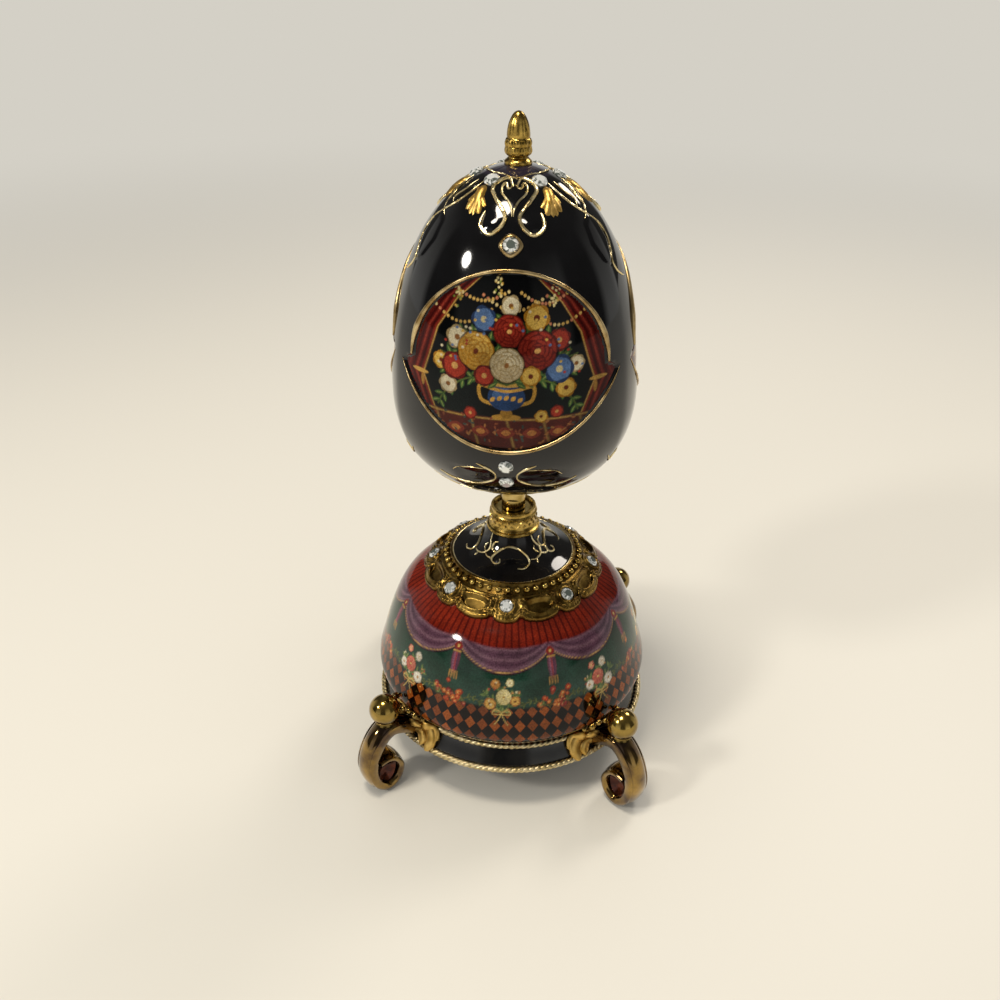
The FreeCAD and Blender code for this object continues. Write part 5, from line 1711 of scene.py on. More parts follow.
    def leaf_spot(self, turn_mm: float, z: float, lift: float) -> tuple[float, float, float]:
        """Point on the plinth's flare at an arc length from the foot and a height.

        Args:
            turn_mm: arc length.
            z: height.
            lift: distance over the flare.

        Returns:
            The point.
        """
        heights, radii = zip(*self.flare)
        radius = float(np.interp(z, heights, radii)) + lift
        a = turn_mm / self.arc_r
        return (radius * math.cos(a), radius * math.sin(a), z)

    def lobe(self, hand: int, path: Sequence[Row], width: float, thick: float, tip: float = 0.25) -> Mesh:
        """One fleshy lobe of a leaf along (arc, height, lift) points on the plinth.

        Args:
            hand: side of the foot.
            path: middle line of the lobe.
            width: half width at its fullest.
            thick: half thickness.
            tip: width share at the tip.

        Returns:
            The mesh.
        """
        line = smooth_line(path, 6)
        rings = []
        count = len(line)
        spots = [np.array(self.leaf_spot(hand * a, z, lift)) for a, z, lift in line]
        for i, spot in enumerate(spots):
            run = spots[min(i + 1, count - 1)] - spots[max(i - 1, 0)]
            run /= np.linalg.norm(run)
            outward = np.array([spot[0], spot[1], 0.0])
            outward /= np.linalg.norm(outward)
            side = np.cross(outward, run)
            side /= np.linalg.norm(side)
            outward = np.cross(run, side)
            share = i / (count - 1)
            full = (0.55 + 0.45 * math.sin(min(share * 1.6, 1.0) * math.pi / 2)) * \
                (1.0 if share < 0.6 else tip + (1 - tip) * math.cos((share - 0.6) / 0.4 * math.pi / 2))
            ring = []
            for k in range(14):
                a = FULL_TURN * k / 14
                crest = 1.0 - 0.10 * math.exp(-(math.cos(a) / 0.22) ** 2) * (math.sin(a) > 0)
                bulge = outward * thick * crest * math.sin(a)
                ring.append(spot + side * width * full * math.cos(a) + bulge)
            rings.append(ring)
        return loft(rings)

    def leaves(self) -> Mesh:
        """Two acanthus leaves beside the foot, each of four lobes.

        Returns:
            The mesh.
        """
        parts = []
        for hand in (-1, 1):
            for path, width, thick in self.leaf_lobes:
                parts.append(self.lobe(hand, path, width, thick))
        return joined(parts)

    def build(self) -> None:
        """Make the four feet with their balls, pearls and leaves."""
        ribbon = self.ribbon()
        for i, side in enumerate(("back_right", "back_left", "front_left", "front_right")):
            scroll = spun(ribbon, self.first_turn + 90.0 * i)
            publish(f"scroll_foot_{side}", scroll, FOOT_GILT, Body.BASE, Slot.ANTIQUE, f"foot_{side}",
                    crease=50)
        ribbon.free()
        # The curl's web takes a dark red-brown that is painted shade for the hollow
        for name, part, finish, nodes, crease in (
                ("foot_scroll_hollows", self.hollow(), CURL_SHADE_LACQUER, (), 60),
                ("foot_ball_knobs", self.ball(), BALL_GILT, ("foot_balls",), 40),
                ("acanthus_leaves", self.leaves(), LEAF_GILT, ("foot_leaves",), 60),
                ("foot_pearl_rows", self.pearls(), BALL_GILT, ("foot_pearls",), 60)):
            whole = ring_of(part, self.feet, self.first_turn)
            publish(name, whole, finish, Body.BASE, Slot.ANTIQUE, *nodes, crease=crease)


# Egg


@dataclass
class EggForm:
    """Shape of the three-panelled egg; each panel turns about a centre behind the axis."""

    bottom_z: float = 91.5
    middle_z: float = 122.0
    top_z: float = 178.8
    flat_low_z: float = 91.87
    flat_high_z: float = 178.62
    ridge: float = 34.0
    offset: float = 2.6
    low_power: float = 2.2
    high_power: float = 2.12
    soften_from: float = 1.02
    soften_share: float = 0.35

    def ridge_radius(self, z: Values) -> Values:
        """Radius of the ridges at heights.

        Args:
            z: heights.

        Returns:
            Radii.
        """
        z = np.asarray(z, float)
        low = z < self.middle_z
        half = np.where(low, self.middle_z - self.bottom_z, self.top_z - self.middle_z)
        power = np.where(low, self.low_power, self.high_power)
        share = np.clip(np.abs(z - self.middle_z) / half, 0, 1)
        return self.ridge * np.maximum(0.0, 1 - share ** power) ** (1 / power)

    def radius(self, z: Values, turn: Values) -> Values:
        """Radius of the surface at heights and at angles in radians from a panel's middle.

        Args:
            z: heights.
            turn: angles.

        Returns:
            Radii.
        """
        local = np.abs((np.asarray(turn, float) + math.pi / 3) % (FULL_TURN / 3) - math.pi / 3)
        past = np.maximum(local - self.soften_from, 0)
        local = np.minimum(local, self.soften_from + past * self.soften_share)
        across = self.offset * np.sin(local)
        square = np.maximum(self.panel_radius(z) ** 2 - across ** 2, 0)
        return -self.offset * np.cos(local) + np.sqrt(square)

    def panel_radius(self, z: Values) -> Values:
        """Radius of a panel about its own turning centre at heights."""
        reach = self.ridge_radius(z)
        return np.sqrt(reach ** 2 + reach * self.offset + self.offset ** 2)

    def depth(self, x: Values, z: Values) -> Values:
        """How far a panel stands before the egg's axis at front-view places."""
        return np.sqrt(np.maximum(self.panel_radius(z) ** 2 - x ** 2, 0)) - self.offset

    def spot(self, turn: float, z: float, lift: float = 0.0) -> Vector:
        """Point at an angle in degrees and a height, lifted along the surface normal."""
        return self.base(turn, z) + self.normal(turn, z) * lift

    def base(self, turn: float, z: float) -> Vector:
        """Point of the plain surface."""
        return azimuth_point(float(self.radius(z, math.radians(turn))), turn, z)

    def normal(self, turn: float, z: float) -> Vector:
        """Outward normal of the plain surface.

        Args:
            turn: angle in degrees.
            z: height.

        Returns:
            Unit normal.
        """
        across = self.base(turn + 0.5, z) - self.base(turn - 0.5, z)
        upward = self.base(turn, z + 0.1) - self.base(turn, z - 0.1)
        return across.cross(upward).normalized()


@dataclass
class Field:
    """Front view of a picture field: two arcs whose ends meet in a short side."""

    upper_w: float = 24.3
    upper_end_z: float = 137.5
    upper_top_z: float = 160.0
    lower_w: float = 27.1
    lower_end_z: float = 135.2
    lower_bottom_z: float = 116.6

    def circle(self, half_w: float, end_z: float, peak_z: float) -> tuple[float, float]:
        """Arc through two ends and a peak.

        Args:
            half_w: half the distance of the ends.
            end_z: height of the ends.
            peak_z: height of the peak.

        Returns:
            Radius, and height of the centre.
        """
        rise = abs(peak_z - end_z)
        radius = (half_w ** 2 + rise ** 2) / (2 * rise)
        return radius, peak_z - math.copysign(radius, peak_z - end_z)

    def inside(self, x: Values, z: Values) -> Values:
        """Distance inside the field's edge, negative outside.

        Args:
            x: places across.
            z: heights.

        Returns:
            Distances.
        """
        up_r, up_z = self.circle(self.upper_w, self.upper_end_z, self.upper_top_z)
        low_r, low_z = self.circle(self.lower_w, self.lower_end_z, self.lower_bottom_z)
        upper = up_r - np.hypot(x, z - up_z)
        lower = low_r - np.hypot(x, z - low_z)
        share = soft_step(self.lower_end_z, self.upper_end_z, z)
        return upper * share + lower * (1 - share)

    def half_width(self, z: Values) -> Values:
        """Half width of the field at heights.

        Args:
            z: heights.

        Returns:
            Half widths.
        """
        up_r, up_z = self.circle(self.upper_w, self.upper_end_z, self.upper_top_z)
        low_r, low_z = self.circle(self.lower_w, self.lower_end_z, self.lower_bottom_z)
        upper = np.sqrt(np.maximum(up_r ** 2 - (z - up_z) ** 2, 0))
        lower = np.sqrt(np.maximum(low_r ** 2 - (z - low_z) ** 2, 0))
        side = self.lower_w + (self.upper_w - self.lower_w) * (z - self.lower_end_z) / \
            (self.upper_end_z - self.lower_end_z)
        return np.where(z > self.upper_end_z, upper, np.where(z < self.lower_end_z, lower, side))


@dataclass
class PictureArt:
    """Generic bouquet in an urn on a black ground: the print of one picture field."""

    seed: int
    reds: tuple[str, str, str] = ("#641812", "#a83826", "#d6a25c")
    golds: tuple[str, str, str] = ("#a8741f", "#d8b052", "#6a2c10")
    blues: tuple[str, str, str] = ("#24385c", "#56739e", "#cdbd8c")
    creams: tuple[str, str, str] = ("#a48e64", "#dccfac", "#8a5a2c")

    def garland(self, canvas: Canvas, draw: random.Random) -> None:
        """Hanging chains of gold and rose dots at the top.

        Args:
            canvas: canvas of the picture.
            draw: chance source.
        """
        for left, right, sag, high in ((-19.0, -4.0, 3.4, 151.6), (-6.0, 9.0, 3.0, 154.6),
                                       (5.0, 19.0, 3.4, 151.6), (-13.0, 0.0, 2.2, 155.6),
                                       (3.0, 14.5, 2.4, 155.4)):
            for i in range(15):
                t = i / 14
                x = left + (right - left) * t
                z = high - sag * math.sin(t * math.pi)
                canvas.blot(x, z, 0.36, 0.36, 0, draw.choice(("#d9b060", "#c8805c", "#e0c888")))
        for x, z in ((-12.5, 154.0), (10.5, 154.5), (-2.0, 156.8)):
            for _ in range(22):
                canvas.blot(x + draw.gauss(0, 0.7), z + draw.gauss(0, 1.5), 0.3, 0.24, draw.uniform(0, 180),
                            draw.choice(("#c9a04a", "#efdc9c", "#7f8a3c")))

    def curtains(self, canvas: Canvas) -> None:
        """Gathered crimson drapes at both sides.

        Args:
            canvas: canvas of the picture.
        """
        height = [116.0, 126.0, 131.0, 134.0, 138.0, 146.0, 153.0, 160.0]
        edge = np.interp(canvas.y, height, [17.0, 18.4, 20.2, 21.4, 20.0, 17.4, 12.6, 5.0])
        side = np.abs(canvas.x) - edge
        mask = soft_step(-0.2, 0.2, side)
        canvas.wash(mask, "#571410")
        for shift, code in ((0.5, "#8c2e20"), (1.3, "#33090a"), (2.2, "#95382a"), (3.1, "#33090a"),
                            (4.2, "#7c261c"), (5.6, "#33090a"), (7.4, "#83301f")):
            canvas.wash(0.8 * mask * hump(side - shift, 0.3), code)
        canvas.wash(hump(side, 0.2), "#c2964e")
        for hand in (-1, 1):
            canvas.blot(hand * 22.2, 134.2, 2.2, 0.55, 0, "#c79a4c")
            canvas.blot(hand * 21.6, 132.2, 1.6, 0.5, 90, "#a87a38", pointed=0.6)

    def rug(self, canvas: Canvas, draw: random.Random) -> None:
        """Patterned cloth under the urn.

        Args:
            canvas: canvas of the picture.
            draw: chance source.
        """
        mask = soft_step(126.4, 125.8, canvas.y) * soft_step(117.4, 118.2, canvas.y)
        canvas.wash(mask, "#52201a")
        canvas.wash(mask * 0.6 * hump((canvas.x + canvas.y * 0.25) % 9.0 - 4.5, 0.35), "#a88a4a")
        canvas.wash(mask * hump(canvas.y - 125.6, 0.25), "#b08a48")
        for i in range(-3, 4):
            canvas.blot(i * 6.4, 122.0, 2.3, 1.5, 0, "#7c3426", pointed=0.6)
            canvas.blot(i * 6.4, 122.0, 1.2, 0.8, 0, "#b5763e", pointed=0.6)
            for _ in range(16):
                canvas.blot(i * 6.4 + 3.2 + draw.gauss(0, 1.1), 121.8 + draw.gauss(0, 1.8), 0.5, 0.25,
                            draw.uniform(0, 180), draw.choice(("#8a4a30", "#3c4a44", "#a06a3c")))

    def urn(self, canvas: Canvas) -> None:
        """Blue and gold urn with two handles.

        Args:
            canvas: canvas of the picture.
        """
        for hand in (-1, 1):
            canvas.line([(hand * 3.4, 133.6), (hand * 6.6, 134.0), (hand * 6.2, 130.6),
                         (hand * 3.0, 129.4)], 0.42, "#c8973e")
        canvas.blot(0, 126.2, 3.6, 0.8, 0, "#b98a38")
        canvas.blot(0, 127.2, 1.3, 1.5, 90, "#9a7028")
        canvas.blot(0, 131.4, 4.6, 3.5, 0, "#24406a")
        canvas.blot(-1.4, 132.2, 2.2, 1.4, 20, "#5577a8", share=0.7)
        for i in range(-2, 3):
            canvas.blot(i * 1.7, 131.2 - 0.12 * i * i, 0.75, 0.5, 45, "#d9a54c", pointed=0.5)
        canvas.line([(-3.9, 133.5), (0, 132.9), (3.9, 133.5)], 0.35, "#d9a54c")
        canvas.blot(0, 134.6, 4.1, 0.75, 0, "#caa04c")

    def bouquet(self, canvas: Canvas, draw: random.Random) -> None:
        """Leaves behind, then large and small flowers, symmetric in weight but not in kind.

        Args:
            canvas: canvas of the picture.
            draw: chance source.
        """
        for angle in range(6, 180, 12):
            a = math.radians(angle + draw.uniform(-5, 5))
            reach = draw.uniform(14.5, 18.0) - 1.5 * abs(math.cos(a))
            tip = (reach * 1.12 * math.cos(a), 136.5 + reach * 0.88 * math.sin(a))
            canvas.leafy([(0, 134.5), (tip[0] * 0.5, 135.2 + (tip[1] - 135.2) * 0.6), tip], 0.2, "#4c5a2a",
                         ("#3c5a2c", "#86954c"), 1.5, 4)
        for way in (-1, 1):
            canvas.leafy([(way * 3, 135.5), (way * 10, 135.2), (way * 15.5, 130.8), (way * 17.5, 127.2)],
                         0.2, "#5a6a30", ("#456a34", "#9aa458"), 1.25, 6)
        blooms = [(-14.6, 133.0, 2.4, self.creams, 0), (14.8, 133.2, 2.5, self.golds, 0),
                  (-16.8, 138.4, 2.2, self.golds, 0), (16.6, 138.8, 2.1, self.creams, 0),
                  (-12.6, 137.8, 3.4, self.reds, 0), (12.8, 138.0, 3.5, self.blues, 0),
                  (-12.2, 144.6, 2.8, self.creams, 0), (12.4, 144.8, 2.7, self.reds, 0),
                  (-6.2, 149.4, 3.0, self.blues, 0), (6.6, 150.0, 3.1, self.golds, 0),
                  (0.4, 152.6, 2.4, self.creams, 0), (0.2, 147.0, 4.0, self.reds, 1),
                  (-7.6, 142.0, 4.7, self.golds, 1), (7.4, 142.6, 4.9, self.reds, 1),
                  (-5.4, 136.4, 2.6, self.reds, 0), (5.6, 136.6, 2.5, self.golds, 0),
                  (0.0, 139.2, 4.3, self.creams, 1)]
        for x, z, size, codes, full in blooms:
            x += draw.uniform(-0.4, 0.4)
            if full:
                canvas.rose(x, z, size, codes, draw.uniform(0, 72))
            else:
                canvas.flower(x, z, size, draw.choice((5, 6, 7)), codes, draw.uniform(0, 72))
        for _ in range(46):
            a = draw.uniform(0.1, 3.04)
            r = draw.uniform(13.0, 18.5)
            canvas.blot(r * math.cos(a), 135.0 + r * 0.95 * math.sin(a), 0.36, 0.3, 0,
                        draw.choice((self.golds[1], self.reds[1], self.creams[1], self.blues[1])))
        for x, z, codes in ((-9.0, 126.6, self.reds), (8.6, 126.4, self.golds), (12.4, 127.4, self.reds)):
            canvas.flower(x, z, 1.7, 6, codes, draw.uniform(0, 60))

    def paint(self, x: Values, z: Values) -> Values:
        """Colours at front-view places.

        Args:
            x: places across.
            z: heights.

        Returns:
            Colours with alpha.
        """
        draw = random.Random(self.seed)
        canvas = Canvas(x, z, "#070809", soft=0.22)
        canvas.wash(0.55 * soft_step(150.0, 128.0, z) * (0.5 + 0.5 * np.sin(x * 0.25 + self.seed)),
                    "#15201f")
        self.curtains(canvas)
        self.rug(canvas, draw)
        self.garland(canvas, draw)
        self.urn(canvas)
        self.bouquet(canvas, draw)
        return canvas.paint


@dataclass
class PicturePanel:
    """One picture's printed leaf, laid in its pocket on a panel of the egg."""

    form: EggForm
    picture: Field
    art: PictureArt
    pocket: float
    turn: float
    margin: float = 0.02
    overlap: float = 0.1
    proud: float = 0.06
    columns: int = 300
    rows: int = 240

    def front(self, across: Values, up: Values) -> tuple[Values, Values]:
        """Front-view places at shares of the field.

        Args:
            across: shares of the field's width at each height.
            up: shares of its height.

        Returns:
            Places across and heights.
        """
        low = self.picture.lower_bottom_z + self.margin
        z = low + (self.picture.upper_top_z - self.picture.lower_bottom_z - 2 * self.margin) * up
        return (across * 2 - 1) * (self.picture.half_width(z) + self.overlap), z

    def place(self, across: Values, up: Values) -> Values:
        """Points of the leaf, sunk by the pocket's depth.

        Args:
            across: shares of the field's width.
            up: shares of its height.

        Returns:
            One row per point.
        """
        x, z = self.front(across, up)
        depth = self.form.depth(x, z)
        sink = self.pocket * soft_step(-0.1, 0.5, self.picture.inside(x, z)) - self.proud
        share = 1 - sink / np.hypot(x, depth)
        turn = np.arctan2(x, depth) + math.radians(self.turn)
        return turned_points(np.hypot(x, depth) * share, turn, z)

    def paint(self, across: Values, up: Values) -> Values:
        """Printed colours at shares of the field."""
        return self.art.paint(*self.front(across, up))

    def build(self, number: int) -> None:
        """Make the leaf with its number in its name."""
        bm = grid_sheet(self.columns, self.rows, self.place, self.paint)
        publish(f"picture_print_{number}", bm, PICTURE_PRINT, Body.EGG, Slot.BLACK, crease=180,
                outward=False)


@dataclass(frozen=True)
class LineRoutes:
    """Routes of the raised gilt lines: angles from the panel's middle or ridge, and heights."""

    lyre: Rows = ((2.0, 175.6), (8, 176.9), (17, 176.8), (24, 176.1), (24.6, 175.0), (19, 173.9),
                  (13, 172.7), (8.5, 171.6), (5.5, 170.4), (6.0, 169.1), (9, 167.8), (13.5, 166.9),
                  (18, 167.2), (22, 168.4), (22.6, 169.8), (22.0, 171.0))
    heart: Rows = ((0.0, 176.0), (7, 175.3), (11.5, 176.2), (15, 175.6), (12, 174.4), (5, 173.2),
                   (1.2, 171.8), (0.6, 170.4))
    band: Rows = ((-17, 176.4), (-14, 174.2), (-8.5, 172.1), (-3, 170.6), (0, 169.8), (4, 168.9))
    hook: Rows = ((0, 169.8), (6, 168.4), (10.5, 166.2), (10, 163.4), (7, 161.2), (4.2, 159.2),
                  (5.8, 157.0), (11, 155.2), (14.5, 154.6))
    inner: Rows = ((-9.5, 176.0), (-6.5, 174.2), (-2.5, 172.6), (-4.5, 171.4))
    loop: Rows = ((14, 112.3), (11, 111.7), (7.5, 110.5), (5.2, 108.8), (6.2, 106.8), (11, 105.1),
                  (18, 104.1), (26, 103.8), (33, 104.4), (38, 105.6))
    loop_swell: tuple[float, ...] = (0.3, 1.3, 0.8, 0.9, 1.1, 1.2, 0.9, 0.5)
    tail: Rows = ((10, 110.7), (17, 110.6), (24, 109.5), (28, 108.0))
    tip: Rows = ((-4.5, 109.4), (-1.2, 107.2), (0.0, 106.2))
    base: Rows = ((12, 99.5), (28, 98.7), (46, 99.4), (60, 100.6))
    cap: Rows = ((60, 177.6), (50, 177.5), (38, 177.55), (22, 177.45), (12, 177.2), (0, 177.05),
                 (-12, 177.2), (-22, 177.45), (-38, 177.55), (-50, 177.5), (-60, 177.6))


@dataclass
class Egg:
    """The egg: glazed shell, pictures and rims, gilt line work and stones."""

    form: EggForm = field(default_factory=EggForm)
    picture: Field = field(default_factory=Field)
    columns: int = 372
    rows: int = 256
    pocket: float = 0.6
    cap_z: float = 177.25
    panels: tuple[float, ...] = (0.0, 120.0, 240.0)
    picture_seed: int = 11
    cap_gem: tuple[float, float] = (34.0, 176.4)
    brow_gem_z: float = 165.0
    low_gem_z: tuple[float, ...] = (112.0, 106.2)
    lines: LineRoutes = LineRoutes()
    leaf_swell: tuple[float, ...] = (0.5, 0.95, 1.0, 0.95, 0.75, 0.3)
    leaf_lobes: tuple[tuple[Rows, float], ...] = (
        (((37, 175.6), (35.5, 174.2), (32.5, 172.2), (30.2, 169.2)), 1.6),
        (((35.5, 174.4), (31, 173.2), (26, 172.3), (20.5, 171.5)), 1.2),
        (((35.5, 174.0), (30, 172.0), (25, 169.9)), 1.4),
        (((36.5, 174.0), (37.6, 172.3), (39.4, 170.3)), 1.35),
        (((36.8, 174.8), (40.2, 173.2), (43.6, 171.6)), 1.05),
        (((36, 174.2), (33.6, 172.2), (34.8, 169.4)), 1.35))
    upper_roll: tuple[float, ...] = (0.5, 1.5, 1.1, 0.85, 0.85, 1.0, 0.85, 0.85, 1.1, 1.5, 0.5)
    lower_roll: tuple[float, ...] = (0.15, 0.7, 0.8, 0.9, 1.05, 1.1, 1.05, 0.9, 0.8, 0.7, 0.15)
    bezel: Rows = ((1.9, -0.3), (1.95, 0.42), (2.1, 0.6), (2.22, 0.5), (2.42, 0.1), (2.5, -0.5))

    def relief(self, turn: Values, z: Values, radius: Values) -> Values:
        """Depth or height of the modelled surface over the plain egg.

        Args:
            turn: angles in radians.
            z: heights.
            radius: radii of the plain egg.

        Returns:
            Heights over it.
        """
        local = (turn + math.pi / 3) % (FULL_TURN / 3) - math.pi / 3
        x = radius * np.sin(local)
        rise = -self.pocket * soft_step(0.1, 0.7, self.picture.inside(x, z))
        degrees = np.degrees(local)
        for hand in (-1, 1):
            rise += 0.75 * np.exp(-((degrees - hand * 14.4) / 7.6) ** 2 - ((z - 168.9) / 1.6) ** 2)
        side = 60.0 - np.abs(degrees)
        half = np.interp(z, [158.5, 160.0, 164.0, 167.8, 169.8, 170.6, 172.5, 175.0, 177.0],
                         [0.0, 4.5, 9.0, 8.0, 0.5, 3.0, 8.5, 14.0, 15.0])
        rise += 0.35 * soft_step(0.0, 2.5, half - side) * (half > 0)
        rise += 0.4 * soft_step(0.0, 1.0, z - self.cap_z)
        hollow = np.exp(-((np.abs(degrees) - 17.0) / 9.5) ** 4 - ((z - 107.4) / 2.5) ** 4)
        return rise - 0.5 * hollow

    def place(self, across: Values, up: Values) -> Values:
        """Points of the shell: evenly fine in angle, closed by flat ends.

        Args:
            across: shares of a turn.
            up: shares of the way up.

        Returns:
            One row per point.
        """
        swing = np.clip((up - 0.01) / 0.98, 0.0, 1.0)
        cosine = np.cos(swing * math.pi)
        z = np.where(cosine > 0, self.form.middle_z - (self.form.middle_z - self.form.flat_low_z) * cosine,
                     self.form.middle_z - (self.form.flat_high_z - self.form.middle_z) * cosine)
        turn = across * FULL_TURN
        radius = self.form.radius(z, turn)
        radius = radius + self.relief(turn, z, radius)
        cap = np.minimum(1.0, np.minimum(up, 1.0 - up) / 0.01)
        return turned_points(radius * cap, turn, z)

    def paint(self, across: Values, up: Values) -> Values:
        """Black, with a violet-grey cap and a browner tone towards the bottom.

        Args:
            across: shares of a turn.
            up: shares of the way up.

        Returns:
            Colours with alpha.
        """
        z = self.place(across, up)[:, 2]
        canvas = Canvas(across * 200.0, z, "#09090b")
        canvas.wash(soft_step(self.cap_z - 0.25, self.cap_z + 0.05, z), "#241f2b")
        # Browner towards the bottom of the egg, by height alone
        canvas.wash(0.5 * soft_step(112.0, 100.0, z), "#120c0a")
        return canvas.paint

    def build_shell(self) -> None:
        """Make the glazed shell."""
        bm = grid_sheet(self.columns, self.rows, self.place, self.paint)
        publish("egg_glazed_shell", bm, EGG_GLAZE, Body.EGG, Slot.BLACK, "egg_shell", crease=180)

    def build_pictures(self) -> None:
        """Make the three printed fields, thin leaves laid in their pockets."""
        for number, panel in enumerate(self.panels):
            art = PictureArt(seed=self.picture_seed + number)
            PicturePanel(self.form, self.picture, art, self.pocket, panel).build(number + 1)

    def on_egg(self, rows: Sequence[Row], radius: float, panel: float, hand: int = 1, lift: float = 0.0,
               steps: int = 6, tips: float = 0.3, swell: Sequence[float] | None = None) -> Stroke:
        """Stroke through (angle, height) rows laid on a panel.

        Args:
            rows: angles and heights.
            radius: full half width.
            panel: angle of the panel in degrees.
            hand: side of its middle.
            lift: distance over the surface.
            steps: points per span.
            tips: width share at the ends.
            swell: width shares along it, in place of the plain taper.

        Returns:
            The stroke.
        """
        stroke = tapered(rows, radius, steps, tips, swell)
        points = []
        for turn, z in stroke.points:
            spot = self.form.base(panel + hand * turn, z)
            reach = math.hypot(spot.x, spot.y)
            angle = math.radians(panel + hand * turn)
            rise = float(self.relief(np.array(angle), np.array(z), np.array(reach)))
            points.append(spot + self.form.normal(panel + hand * turn, z) * (rise + lift))
        return Stroke(np.array([tuple(point) for point in points]), stroke.radii)

    def build_lines(self) -> None:
        """Make the raised gilt lines: lyre, ridge bands, cap line, bottom loops."""
        lines = self.lines
        far_hooks = {0.0: (1,), 120.0: (-1, 1), 240.0: (-1,)}
        strokes = []
        for panel in self.panels:
            ridge = panel + 60.0
            for hand in (-1, 1):
                strokes.append(self.on_egg(lines.lyre, 0.52, panel, hand, tips=0.5))
                strokes.append(self.on_egg(lines.heart, 0.30, panel, hand))
                strokes.append(self.on_egg(lines.loop, 0.32, panel, hand, swell=lines.loop_swell))
                strokes.append(self.on_egg(lines.tail, 0.18, panel, hand))
                strokes.append(self.on_egg(lines.base, 0.18, panel, hand))
                for rows, radius in ((lines.band, 0.27), (lines.inner, 0.2), (lines.tip, 0.28)):
                    strokes.append(self.on_egg(rows, radius, ridge, hand))
            strokes += [self.on_egg(lines.hook, 0.27, ridge, hand) for hand in far_hooks[panel]]
            strokes.append(self.on_egg(lines.cap, 0.2, panel, tips=1.0))
        publish("gilt_line_work", wires(strokes, 1), LINE_GILT, Body.EGG, Slot.BRIGHT, crease=60)

    def build_leaves(self) -> None:
        """Make the gilt leaf that hangs under each cap stone, from fleshy lobes."""
        strokes = []
        for panel in self.panels:
            for hand in (-1, 1):
                for rows, radius in self.leaf_lobes:
                    strokes.append(self.on_egg(rows, radius, panel, hand, lift=-0.8, steps=8,
                                               swell=self.leaf_swell))
        publish("gilt_leaf_drops", wires(strokes, 2), LEAF_GILT, Body.EGG, Slot.BRIGHT, crease=60)

    def rim_stroke(self, upper: bool, panel: float, radius: float, swell: Sequence[float]) -> Stroke:
        """Stroke along one arc of a picture field.

        Args:
            upper: the upper arc, or else the lower one.
            panel: angle of the panel in degrees.
            radius: half width of the roll.
            swell: width shares along the arc.

        Returns:
            The stroke.
        """
        area = self.picture
        half_w, end_z, peak_z = (area.upper_w, area.upper_end_z, area.upper_top_z) if upper else \
            (area.lower_w, area.lower_end_z, area.lower_bottom_z)
        arc_r, centre_z = area.circle(half_w, end_z, peak_z)
        reach = math.atan2(half_w, (end_z - centre_z) if upper else (centre_z - end_z))
        points = []
        for turn in np.linspace(-reach, reach, 72):
            x = arc_r * math.sin(turn)
            z = centre_z + (arc_r if upper else -arc_r) * math.cos(turn)
            angle = math.degrees(math.atan2(x, float(self.form.depth(x, z))))
            points.append(tuple(self.form.spot(panel + angle, z, 0.02)))
        share = np.linspace(0, 1, len(points))
        return Stroke(np.array(points), radius * np.interp(share, np.linspace(0, 1, len(swell)), swell))

    def build_rims(self) -> None:
        """Make the rolls round the picture fields."""
        upper = [self.rim_stroke(True, panel, 0.55, self.upper_roll) for panel in self.panels]
        lower = [self.rim_stroke(False, panel, 0.5, self.lower_roll) for panel in self.panels]
        publish("picture_rolls_upper", wires(upper, 2), RIM_GILT, Body.EGG, Slot.BRIGHT,
                "upper_picture_rims", crease=60)
        publish("picture_rolls_lower", wires(lower, 2), RIM_GILT, Body.EGG, Slot.BRIGHT,
                "lower_picture_rims", crease=60)

    def build_stones(self) -> None:
        """Make the stones and the lobed bezel above each picture."""
        cap = []
        brow = []
        low = []
        for panel in self.panels:
            cap += [self.setting(panel + hand * self.cap_gem[0], self.cap_gem[1]) for hand in (-1, 1)]
            brow.append(self.setting(panel, self.brow_gem_z))
            low += [self.setting(panel, z) for z in self.low_gem_z]
        stones("cap_stones", cap, Body.EGG, "cap_crystals", 5)
        stones("brow_stones", brow, Body.EGG, "brow_crystals", 6)
        stones("lower_stones", low, Body.EGG, "lower_crystals", 8)
        bezels = []
        for setting in brow:
            bezel = self.bezel_ring()
            bmesh.ops.transform(bezel, matrix=setting.frame(), verts=bezel.verts)
            bezels.append(bezel)
        publish("brow_bezel_rings", joined(bezels), RIM_GILT, Body.EGG, Slot.BRIGHT, "brow_bezels",
                crease=50)

    def setting(self, turn: float, z: float) -> Setting:
        """Seat of a stone at an angle in degrees and a height."""
        return Setting(self.form.spot(turn, z), self.form.normal(turn, z))

    def bezel_ring(self) -> Mesh:
        """Bezel round a stone on the origin: round inside, a soft square outside.

        Returns:
            The mesh.
        """
        rings = []
        for reach, height in self.bezel:
            ring = []
            for i in range(48):
                a = FULL_TURN * i / 48
                square = (abs(math.cos(a)) ** 1.5 + abs(math.sin(a)) ** 1.5) ** (-1 / 1.5)
                lobe = square * 1.2 if reach > 2.2 else 1.0
                ring.append((reach * lobe * math.cos(a), reach * lobe * math.sin(a), height))
            rings.append(ring)
        return loft(rings)

    def build(self) -> None:
        """Make everything on the egg."""
        self.build_shell()
        self.build_pictures()
        self.build_rims()
        self.build_lines()
        self.build_leaves()
        self.build_stones()


